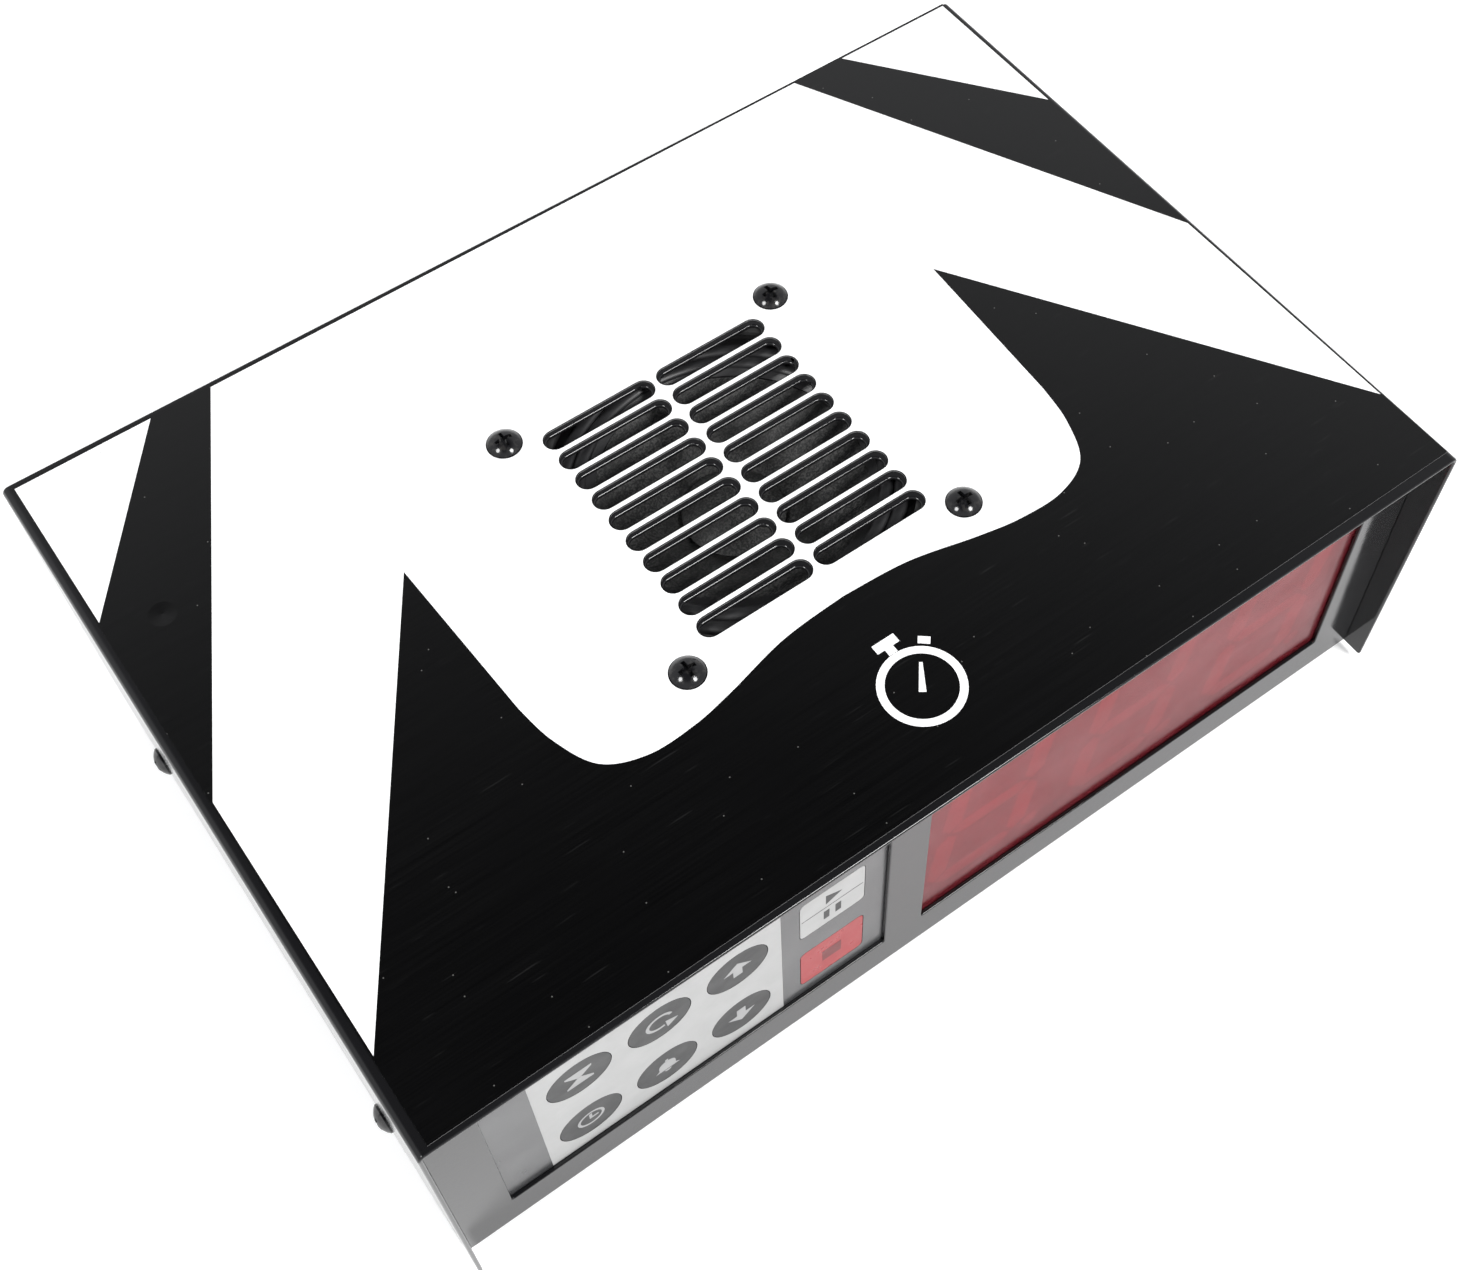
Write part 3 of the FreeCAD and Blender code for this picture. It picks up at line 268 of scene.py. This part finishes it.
def print_white():
    """White satin ink with a few dark specks of dust."""
    f = Finish("print_white")
    tint = f.mixed(f.noise(70 * MM, 4.0), (0.80, 0.80, 0.80), (0.88, 0.88, 0.885))
    specks = f.ranged(f.cells(16 * MM), 0.0, 0.016, 1.0, 0.0)
    tint = f.mixed(specks, tint, (0.30, 0.30, 0.30))
    rough = f.ranged(f.noise(9 * MM, 6.0), 0.3, 0.7, 0.36, 0.46)
    return f.done(f.principled(tint, rough, f.bump(f.noise(0.5 * MM, 2.0), 0.003 * MM)))


def screw_black():
    """Black oxide under oil: glossy, with brighter rubbed patches."""
    f = Finish("screw_black")
    rub = f.noise(1.6 * MM, 5.0)
    tint = f.mixed(f.ranged(rub, 0.50, 0.80, 0.0, 1.0), (0.006, 0.006, 0.007), (0.040, 0.038, 0.036))
    rough = f.ranged(f.noise(0.9 * MM, 4.0), 0.3, 0.7, 0.10, 0.18)
    normal = f.bump(f.noise(0.6 * MM, 3.0), 0.003 * MM)
    shader = f.principled(tint, rough, normal, Specular_IOR_Level=0.30)
    f.feed(shader.inputs["Coat Weight"], 0.15)
    f.feed(shader.inputs["Coat Roughness"], 0.05)
    return f.done(shader)


def keypad_film():
    """Grey satin polyester that isn't quite flat."""
    f = Finish("keypad_film")
    tint = f.mixed(f.noise(22 * MM, 4.0), (0.040, 0.040, 0.042), (0.062, 0.062, 0.064))
    waves = f.bump(f.noise(26 * MM, 0.0), 0.8 * MM)
    normal = f.bump(f.noise(0.4 * MM, 2.0), 0.002 * MM, waves)
    rough = f.ranged(f.noise(12 * MM, 5.0), 0.3, 0.7, 0.20, 0.28)
    return f.done(f.principled(tint, rough, normal, Specular_IOR_Level=0.4))


def key_finish(name, colour, rough):
    """A key's printed face: fine satin grain over a slightly uneven sheet."""
    f = Finish(name)
    tint = f.mixed(f.noise(8 * MM, 5.0), scaled(colour, 0.88), scaled(colour, 1.10))
    waves = f.bump(f.noise(20 * MM, 0.0), 0.15 * MM)
    normal = f.bump(f.noise(0.4 * MM, 2.0), 0.003 * MM, waves)
    uneven = f.ranged(f.noise(6 * MM, 5.0), 0.3, 0.7, rough - 0.05, rough + 0.05)
    return f.done(f.principled(tint, uneven, normal, Specular_IOR_Level=0.3))


def red_window():
    """Tinted acrylic: partly see-through, with a milky red haze, faint wipe marks and a glossy face."""
    f = Finish("red_window")
    marks = f.noise(1.0, 4.0, f.stretched((70.0, 70.0, 300.0), (0.0, math.radians(34), 0.0)))
    haze = f.mixed(f.ranged(marks, 0.35, 0.7, 0.0, 1.0), (0.17, 0.014, 0.022), (0.25, 0.040, 0.052))
    specks = f.ranged(f.cells(10 * MM), 0.0, 0.03, 1.0, 0.0)
    haze = f.mixed(specks, haze, (0.05, 0.008, 0.010))
    rough = f.ranged(f.noise(9 * MM, 6.0), 0.3, 0.7, 0.14, 0.26)
    normal = f.bump(f.noise(22 * MM, 1.0), 0.12 * MM)
    face = f.principled(haze, rough, normal, IOR=1.55)
    clear = f.add("ShaderNodeBsdfTransparent", {"Color": (0.92, 0.07, 0.10, 1.0)})
    share = f.ranged(f.noise(40 * MM, 4.0), 0.3, 0.7, 0.44, 0.56)
    mix = f.add("ShaderNodeMixShader", {"Fac": share})
    f.feed(mix.inputs[1], face.outputs[0])
    f.feed(mix.inputs[2], clear.outputs[0])
    return f.done(mix)


def cone_pulp():
    """Pressed paper pulp: grey-black, with fibres and soft darker blotches."""
    f = Finish("cone_pulp")
    fibres = f.noise(0.6 * MM, 2.0, rough=0.8)
    tint = f.mixed(f.ranged(fibres, 0.45, 0.58, 0.0, 1.0), (0.004, 0.005, 0.005), (0.066, 0.065, 0.064))
    tint = f.mixed(f.ranged(f.noise(12 * MM, 3.0), 0.4, 0.7, 0.0, 0.6), tint, (0.008, 0.008, 0.008))
    return f.done(f.principled(tint, f.ranged(fibres, 0.3, 0.7, 0.55, 0.80), f.bump(fibres, 0.12 * MM)))


def circuit_board():
    """Green solder mask over copper tracks, with tinned pads and holes."""
    f = Finish("circuit_board")
    inputs = {"Vector": f.place, "Scale": 110.0, "Mortar Size": 0.06}
    inputs["Color1"] = (0.004, 0.050, 0.020, 1.0)
    inputs["Color2"] = (0.006, 0.065, 0.026, 1.0)
    inputs["Mortar"] = (0.012, 0.105, 0.045, 1.0)
    tracks = f.add("ShaderNodeTexBrick", inputs).outputs["Color"]
    pads = f.ranged(f.cells(5.2 * MM), 0.10, 0.13, 1.0, 0.0)
    tint = f.mixed(pads, tracks, (0.55, 0.53, 0.48))
    rough = f.ranged(f.noise(6 * MM, 5.0), 0.3, 0.7, 0.28, 0.42)
    shine = f.maths("MULTIPLY", pads, 0.8)
    return f.done(f.principled(tint, rough, f.bump(pads, 0.03 * MM), Metallic=shine))


def brushed(name, colour, rough, along):
    """Bare metal with fine lines along one axis."""
    f = Finish(name)
    lines = f.noise(1.0, 3.0, f.stretched(along))
    tint = f.mixed(lines, scaled(colour, 0.8), scaled(colour, 1.1))
    uneven = f.ranged(lines, 0.3, 0.7, rough - 0.08, rough + 0.08)
    return f.done(f.principled(tint, uneven, f.bump(lines, 0.01 * MM), Metallic=1.0))


def woven(name, colour):
    """Woven, resin-stiffened cloth."""
    f = Finish(name)
    threads = []
    for where in (f.place, f.stretched((1, 1, 1), (0, 0, math.radians(90)))):
        inputs = {"Vector": where, "Scale": 420.0, "Distortion": 1.0}
        threads.append(f.add("ShaderNodeTexWave", inputs).outputs["Fac"])
    cloth = f.maths("MULTIPLY", *threads)
    tint = f.mixed(cloth, scaled(colour, 0.5), scaled(colour, 1.2))
    return f.done(f.principled(tint, f.ranged(cloth, 0.0, 1.0, 0.75, 0.9), f.bump(cloth, 0.08 * MM)))


def wound_copper():
    """Fine enamelled copper wire, one turn beside the next, with painted shade: a darker colour in the
    grooves between turns.
    """
    f = Finish("wound_copper")
    inputs = {"Vector": f.place, "Scale": 900.0}
    turns = f.add("ShaderNodeTexWave", inputs, bands_direction="Z").outputs["Fac"]
    # the grooves between turns are painted darker copper, as painted shade
    tint = f.mixed(turns, (0.30, 0.09, 0.035), (0.62, 0.24, 0.11))
    rough = f.ranged(turns, 0.0, 1.0, 0.4, 0.25)
    return f.done(f.principled(tint, rough, f.bump(turns, 0.05 * MM), Metallic=0.9))


def make_materials():
    """One finish for each of the record's material slots."""
    return {
        "black_paint": black_paint(),
        "overlay_print": print_black(),
        "black_screw": screw_black(),
        "bare_steel": brushed("zinc_steel", (0.56, 0.56, 0.54), 0.34, (300.0, 300.0, 60.0)),
        "keypad_film": keypad_film(),
        "key_grey": key_finish("key_grey", (0.018, 0.018, 0.019), 0.40),
        "key_white": key_finish("key_white", (0.36, 0.36, 0.357), 0.45),
        "key_red": key_finish("key_red", (0.30, 0.008, 0.012), 0.30),
        "red_window": red_window(),
        "foam_tape": plain("foam_tape", (0.012, 0.012, 0.012), 0.86, grain=0.5, depth=0.12),
        "circuit_board": circuit_board(),
        "digit_case": plain("digit_case", (0.23, 0.23, 0.235), 0.55, grain=0.4, depth=0.01),
        "digit_segment": plain("digit_segment", (0.86, 0.82, 0.80), 0.38, grain=0.6, depth=0.01, spread=0.04),
        "speaker_frame": plain("speaker_frame", (0.018, 0.018, 0.018), 0.42, grain=0.5, depth=0.02),
        "ferrite": plain("ferrite", (0.045, 0.045, 0.048), 0.55, grain=0.9, depth=0.05, spread=0.3),
        "cone_paper": cone_pulp(),
        "spider_cloth": woven("spider_cloth", (0.42, 0.24, 0.07)),
        "surround_rubber": plain("surround_rubber", (0.016, 0.016, 0.017), 0.42, grain=0.5, depth=0.015),
        "coil_copper": wound_copper(),
        "chip_black": plain("chip_black", (0.020, 0.020, 0.021), 0.52, grain=0.25, depth=0.02),
        "heatsink_aluminium": brushed("heatsink_aluminium", (0.70, 0.70, 0.71), 0.36, (400.0, 400.0, 25.0)),
        "standoff_brass": brushed("standoff_brass", (0.66, 0.46, 0.20), 0.28, (600.0, 600.0, 90.0)),
        "capacitor_sleeve": plain("capacitor_sleeve", (0.018, 0.026, 0.075), 0.30, grain=1.5, depth=0.01),
        "header_nylon": plain("header_nylon", (0.78, 0.76, 0.70), 0.46, grain=0.6, depth=0.015, spread=0.05),
        "ribbon_grey": plain("ribbon_grey", (0.30, 0.30, 0.31), 0.44, grain=1.0, depth=0.02, spread=0.2),
        "wire_sleeve": plain("wire_sleeve", (0.38, 0.018, 0.016), 0.40, grain=0.9, depth=0.02),
        "switch_plastic": plain("switch_plastic", (0.013, 0.013, 0.014), 0.36, grain=0.35, depth=0.015),
        "foot_rubber": plain("foot_rubber", (0.020, 0.020, 0.020), 0.72, grain=0.6, depth=0.05, spread=0.2),
    }


def slot_of_node():
    """Each CAD node's material slot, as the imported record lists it."""
    return {part["node"]: part["material_slot"] for part in frame["record"]["subparts"]}


def dress_nodes(made):
    slots = slot_of_node()
    for name, node in NODES.items():
        material = made[slots[name]]
        if not node.data.materials:
            node.data.materials.append(material)
        for k in range(len(node.data.materials)):
            node.data.materials[k] = material


def round_edges(name, radius, segments):
    """Breaks a CAD node's sharp edges, so that they catch the light as painted or moulded edges do.

    Triangles on flat faces are merged first, because tiny edges would spoil the rounding."""
    node = NODES[name]
    weld = node.modifiers.new("weld", "WELD")
    weld.merge_threshold = 1e-6
    flat = node.modifiers.new("flat", "DECIMATE")
    flat.decimate_type = "DISSOLVE"
    flat.angle_limit = math.radians(0.5)
    bevel = node.modifiers.new("edges", "BEVEL")
    bevel.width = radius * MM
    bevel.segments = segments
    bevel.limit_method = "ANGLE"
    bevel.angle_limit = SHARP_ANGLE
    bevel.use_clamp_overlap = False
    node.modifiers.new("normals", "WEIGHTED_NORMAL").keep_sharp = False


def soften_nodes():
    for name, radius, segments in ROUNDED:
        round_edges(name, radius, segments)


# ---- shapes --------------------------------------------------------------------------
def arc(x, y, radius, start, end, steps=12):
    """Points along an arc, its angles in degrees."""
    points = []
    for k in range(steps + 1):
        angle = math.radians(start + (end - start) * k / steps)
        points.append((x + radius * math.cos(angle), y + radius * math.sin(angle)))
    return points


def circle(x, y, radius, steps=48):
    return arc(x, y, radius, 0, 360, steps)[:-1]


def rectangle(x0, x1, y0, y1):
    return [(x0, y0), (x1, y0), (x1, y1), (x0, y1)]


def slot_outline(x, y, length, width):
    reach = (length - width) / 2
    return arc(x + reach, y, width / 2, -90, 90) + arc(x - reach, y, width / 2, 90, 270)


def turned(points, angle, about=(0.0, 0.0), shift=(0.0, 0.0)):
    c, s = math.cos(angle), math.sin(angle)
    moved = []
    for x, y in points:
        dx, dy = x - about[0], y - about[1]
        moved.append((about[0] + c * dx - s * dy + shift[0], about[1] + s * dx + c * dy + shift[1]))
    return moved


def smooth(points, steps=10):
    """A Catmull-Rom curve through the points, which keeps the first and last ones."""
    ends = [points[0]] + list(points) + [points[-1]]
    curve = [points[0]]
    for a, b, c, d in zip(ends, ends[1:], ends[2:], ends[3:]):
        for k in range(1, steps + 1):
            t = k / steps
            row = []
            for i in (0, 1):
                slope = c[i] - a[i]
                bend = 2 * a[i] - 5 * b[i] + 4 * c[i] - d[i]
                twist = 3 * b[i] - a[i] - 3 * c[i] + d[i]
                row.append(0.5 * (2 * b[i] + slope * t + bend * t * t + twist * t ** 3))
            curve.append(tuple(row))
    return curve


def filled(name, outlines, thickness, material, at=(0.0, 0.0, 0.0), upright=False):
    """A thin flat shape cut out by closed outlines in millimetres, the inner ones being holes.

    It lies facing +Z, or stands facing -Y if it is upright. The place is in metres."""
    curve = bpy.data.curves.new(name, "CURVE")
    curve.dimensions = "2D"
    curve.fill_mode = "BOTH"
    curve.extrude = thickness * MM / 2
    for outline in outlines:
        spline = curve.splines.new("POLY")
        spline.points.add(len(outline) - 1)
        for point, (x, y) in zip(spline.points, outline):
            point.co = (x * MM, y * MM, 0.0, 1.0)
        spline.use_cyclic_u = True
    source = bpy.data.objects.new(name + "_outline", curve)
    bpy.context.scene.collection.objects.link(source)
    bpy.context.view_layer.update()
    mesh = bpy.data.meshes.new_from_object(source)
    bpy.data.objects.remove(source)
    if upright:
        mesh.transform(Matrix.Rotation(math.radians(90), 4, "X"))
    mesh.transform(Matrix.Translation(Vector(at)))
    mesh.materials.clear()
    mesh.materials.append(material)
    piece = bpy.data.objects.new(name, mesh)
    bpy.context.scene.collection.objects.link(piece)
    return piece


def on_case(piece, body="case"):
    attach(piece, body)
    return piece


# ---- the speaker's flexible rings ----------------------------------------------------
def ridged_profile(inner, outer, waves, low, rise, thickness, steps=10):
    """The section of a flexible ring: flat lips with round ridges between them."""
    span = (outer - inner - 2 * RING_LIP) / waves
    line = [(inner, low)]
    for wave in range(waves):
        for step in range(steps + 1):
            turn = math.pi * step / steps
            r = inner + RING_LIP + span * (wave + (1 - math.cos(turn)) / 2)
            line.append((r, low + rise * math.sin(turn)))
    line.append((outer, low))
    return [(r, z + thickness) for r, z in line] + [(r, z) for r, z in reversed(line)]


def turned_ring(name, profile, material, sides=128):
    """Sweeps a closed section round the speaker's axis."""
    count = len(profile)
    points, faces = [], []
    for k in range(sides):
        angle = 2 * math.pi * k / sides
        for r, z in profile:
            points.append((r * MM * math.cos(angle), r * MM * math.sin(angle), z * MM))
    for k in range(sides):
        for i in range(count):
            j, following = (i + 1) % count, (k + 1) % sides
            faces.append((k * count + i, following * count + i, following * count + j, k * count + j))
    mesh = bpy.data.meshes.new(name)
    mesh.from_pydata(points, [], faces)
    mesh.materials.append(material)
    mesh.shade_smooth()
    mesh.validate()
    piece = bpy.data.objects.new(name, mesh)
    bpy.context.scene.collection.objects.link(piece)
    return piece


def hold_between(piece):
    """Bakes the ring's placement into its mesh; its lips are not tied to the cone or the basket."""
    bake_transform(piece)


def make_flexible_rings(made):
    for name, inner, outer, waves, rise, thickness, finish in RINGS:
        node = "speaker_" + name
        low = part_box(node)[0].z / MM
        profile = ridged_profile(inner, outer, waves, low, rise, thickness)
        ring = turned_ring(name + "_ring", profile, made[finish])
        hold_between(ring)
        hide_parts(node)


# ---- print on the top sheet ----------------------------------------------------------
def on_sheet(points):
    """From the printed sheet's own middle to the case's."""
    return turned(points, SHEET_TWIST, shift=SHEET_SHIFT)


def main_field():
    """The white field round the grille."""
    w, d = SHEET_HALF_W, SHEET_HALF_D
    right = [(BAND_REAR_X, d), (w, BAND_SIDE_Y), (w, WEDGE_SIDE_Y), WEDGE_TIP] + smooth(FRONT_CURVE)
    left = [(-x, y) for x, y in reversed(right[:-1])]
    return right + left


def corner_field(side):
    w, d = SHEET_HALF_W, SHEET_HALF_D
    return [(side * w, d), (side * CORNER_REAR_X, d), (side * w, CORNER_SIDE_Y)]


def stopwatch_sign():
    """A plain stopwatch: a ring with a crown, a side button and one hand."""
    x, y, r = 0.0, -77.0, 10.8
    parts = [circle(x, y, r), circle(x, y, r - 2.0)]
    parts.append(rectangle(x - 1.2, x + 1.2, y + r + 0.08, y + r + 1.98))
    parts.append(rectangle(x - 3.2, x + 3.2, y + r + 2.0, y + r + 4.6))
    button = rectangle(x - 1.5, x + 1.5, y + r + 0.7, y + r + 2.7)
    parts.append(turned(button, math.radians(-40), (x, y)))
    hand = [(-0.9, -1.6), (0.9, -1.6), (0.4, 6.4), (-0.4, 6.4)]
    parts.append(turned([(x + u, y + w) for u, w in hand], math.radians(-35), (x, y)))
    return parts


def grille_holes():
    """The holes in the white field, round the slots and the screws."""
    holes = []
    for column in (-0.5, 0.5):
        for row in range(SLOT_ROWS):
            y = (row - (SLOT_ROWS - 1) / 2) * SLOT_PITCH_Y
            holes.append(on_sheet(slot_outline(column * SLOT_PITCH_X, y, SLOT_L, SLOT_W)))
    for sx in (-0.5, 0.5):
        for sy in (-0.5, 0.5):
            holes.append(circle(sx * SCREW_PITCH, sy * SCREW_PITCH, SCREW_HOLE_R))
    return holes


def make_print():
    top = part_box("top_overlay")[1].z + INK_T * MM / 2
    white = print_white()
    fields = (
        ("print_main_field", [on_sheet(main_field())] + grille_holes()),
        ("print_corner_left", [on_sheet(corner_field(-1))]),
        ("print_corner_right", [on_sheet(corner_field(1))]),
        ("print_stopwatch", [on_sheet(outline) for outline in stopwatch_sign()]),
    )
    for name, outlines in fields:
        on_case(filled(name, outlines, INK_T, white, (0, 0, top)))


# ---- keypad --------------------------------------------------------------------------
ROUND_KEYS = ("key_rest", "key_sets", "key_up", "key_work", "key_beep", "key_down")


def key_middle(node):
    """A key's middle, across and up, and half its width, in millimetres."""
    low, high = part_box(node)
    middle = (low + high) / 2
    return middle.x / MM, middle.z / MM, (high.x - low.x) / 2 / MM


def hourglass():
    right = [(3.6, 3.7), (3.6, 2.9), (0.5, 0.0), (3.6, -2.9), (3.6, -3.7)]
    return [right + [(-x, y) for x, y in reversed(right)]]


def loop_arrow():
    """Three quarters of a turn, with its arrow head clear of the ring's end."""
    ring = arc(0, 0, 3.9, 20, 290, 30) + list(reversed(arc(0, 0, 2.9, 20, 290, 30)))
    head = [(1.5, -1.4), (1.9, -5.4), (5.0, -2.9)]
    return [ring, head]


def up_arrow():
    return [[(0, 3.6), (4.0, -0.2), (1.3, -0.2), (1.3, -3.6), (-1.3, -3.6), (-1.3, -0.2), (-4.0, -0.2)]]


def down_arrow():
    return [[(x, -y) for x, y in up_arrow()[0]]]


def clock_face():
    hands = [(-0.4, 0.4), (-0.4, 2.5), (0.4, 2.5), (0.4, 0.4), (2.1, 0.4), (2.1, -0.4), (-0.4, -0.4)]
    return [circle(0, 0, 3.8), circle(0, 0, 3.0), hands]


def bell():
    body = arc(0, 0.4, 2.4, 0, 180, 18) + [(-2.4, -1.2), (-3.5, -2.3), (3.5, -2.3), (2.4, -1.2)]
    return [body, arc(0, -2.7, 1.0, 180, 360, 10), rectangle(-0.45, 0.45, 2.9, 3.8)]


def play_and_pause():
    """A triangle and two bars, above and below a thin line across the key."""
    play = [(-2.0, 6.6), (2.8, 4.2), (-2.0, 1.8)]
    bars = [rectangle(-2.6, -0.9, -6.4, -2.0), rectangle(0.9, 2.6, -6.4, -2.0)]
    return [play, rectangle(-9.2, 9.2, -0.12, 0.12)] + bars


def stop_sign():
    return [rectangle(-2.9, 2.9, -2.9, 2.9)]


def make_keypad(made):
    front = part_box("keypad_overlay")[0].y - LEGEND_T * MM / 2
    white = made["key_white"]
    low, high = opening_heights()
    holes = []
    for node in ROUND_KEYS:
        x, z, radius = key_middle(node)
        holes.append(circle(x, z, radius + KEY_HOLE_GAP))
    field = [rectangle(FIELD_X[0], FIELD_X[1], low, high)] + holes
    on_case(filled("keypad_white_field", field, LEGEND_T, white, (0, front, 0), True))
    signs = dict(zip(ROUND_KEYS, (hourglass(), loop_arrow(), up_arrow(), clock_face(), bell(), down_arrow())))
    dark = key_finish("legend_dark", (0.020, 0.020, 0.021), 0.4)
    pale = key_finish("legend_pale", (0.30, 0.30, 0.30), 0.4)
    deep_red = key_finish("legend_red", (0.13, 0.006, 0.008), 0.35)
    for node, sign in signs.items():
        make_legend(node, sign, pale)
    make_legend("key_start_pause", play_and_pause(), dark)
    make_legend("key_stop", stop_sign(), deep_red)


def opening_heights():
    """The lower and upper edge of the keypad's cut-out, behind which its film goes on."""
    low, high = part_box("keypad_overlay")
    return low.z / MM + FILM_REACH, high.z / MM - FILM_REACH


def make_legend(node, sign, material):
    x, z, _ = key_middle(node)
    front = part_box(node)[0].y - LEGEND_T * MM / 2
    piece = filled(node + "_sign", sign, LEGEND_T, material, (x * MM, front, z * MM), True)
    on_case(piece, node + "_cap")


# ---- stage ---------------------------------------------------------------------------
def make_floor():
    f = Finish("studio_floor")
    tint = f.mixed(f.noise(0.6, 3.0), (0.86, 0.86, 0.86), (0.90, 0.90, 0.90))
    rough = f.ranged(f.noise(0.3, 4.0), 0.3, 0.7, 0.85, 0.95)
    away = f.add("ShaderNodeVectorMath", {0: f.place}, operation="LENGTH").outputs["Value"]
    glow = f.ranged(away, 0.6, 3.0, FLOOR_GLOW, FAR_GLOW)
    material = f.done(f.principled(tint, rough, Emission_Color=tint, Emission_Strength=glow))
    mesh = bpy.data.meshes.new("floor")
    square = rectangle(-FLOOR_SIZE, FLOOR_SIZE, -FLOOR_SIZE, FLOOR_SIZE)
    mesh.from_pydata([(x, y, -FLOOR_DROP) for x, y in square], [], [(0, 1, 2, 3)])
    mesh.materials.append(material)
    floor = bpy.data.objects.new("floor", mesh)
    bpy.context.scene.collection.objects.link(floor)


def make_lamp(name, direction, power):
    """A round soft lamp that faces the timer."""
    data = bpy.data.lights.new(name, "AREA")
    data.shape = "DISK"
    data.size = LAMP_SIZE
    data.energy = power
    lamp = bpy.data.objects.new(name, data)
    toward = Vector(direction).normalized()
    lamp.location = toward * LAMP_DISTANCE + Vector((0, 0, AIM_HEIGHT))
    lamp.rotation_mode = "QUATERNION"
    lamp.rotation_quaternion = toward.to_track_quat("Z", "Y")
    bpy.context.scene.collection.objects.link(lamp)


def make_sky():
    """A studio that is bright low down and dark overhead."""
    world = bpy.data.worlds.new("studio")
    world.use_nodes = True
    tree = world.node_tree
    background = tree.nodes["Background"]
    place = tree.nodes.new("ShaderNodeTexCoord")
    split = tree.nodes.new("ShaderNodeSeparateXYZ")
    fade = tree.nodes.new("ShaderNodeMapRange")
    tree.links.new(place.outputs["Generated"], split.inputs[0])
    tree.links.new(split.outputs["Z"], fade.inputs["Value"])
    fade.inputs["From Min"].default_value = SKY_HIGH
    fade.inputs["From Max"].default_value = SKY_LOW
    fade.inputs["To Min"].default_value = SKY_DARK
    fade.inputs["To Max"].default_value = SKY_BRIGHT
    fade.interpolation_type = "SMOOTHSTEP"
    tree.links.new(fade.outputs["Result"], background.inputs["Strength"])
    background.inputs["Color"].default_value = (0.97, 0.98, 1.0, 1.0)
    bpy.context.scene.world = world


def make_studio():
    make_floor()
    for name, direction, power in LAMPS:
        make_lamp(name, direction, power)
    make_sky()
    bpy.context.scene.view_settings.view_transform = "Standard"


def make_camera():
    data = bpy.data.cameras.new("camera")
    data.sensor_width = 36.0
    data.lens = CAMERA_LENS
    data.shift_x, data.shift_y = CAMERA_SHIFT
    data.clip_start, data.clip_end = 0.01, 50.0
    camera = bpy.data.objects.new("camera", data)
    camera.location = CAMERA_AT
    camera.rotation_euler = Euler([math.radians(a) for a in CAMERA_TURN], "XYZ")
    bpy.context.scene.collection.objects.link(camera)
    bpy.context.scene.camera = camera


made = make_materials()
dress_nodes(made)
soften_nodes()
make_flexible_rings(made)
make_print()
make_keypad(made)
make_studio()
make_camera()
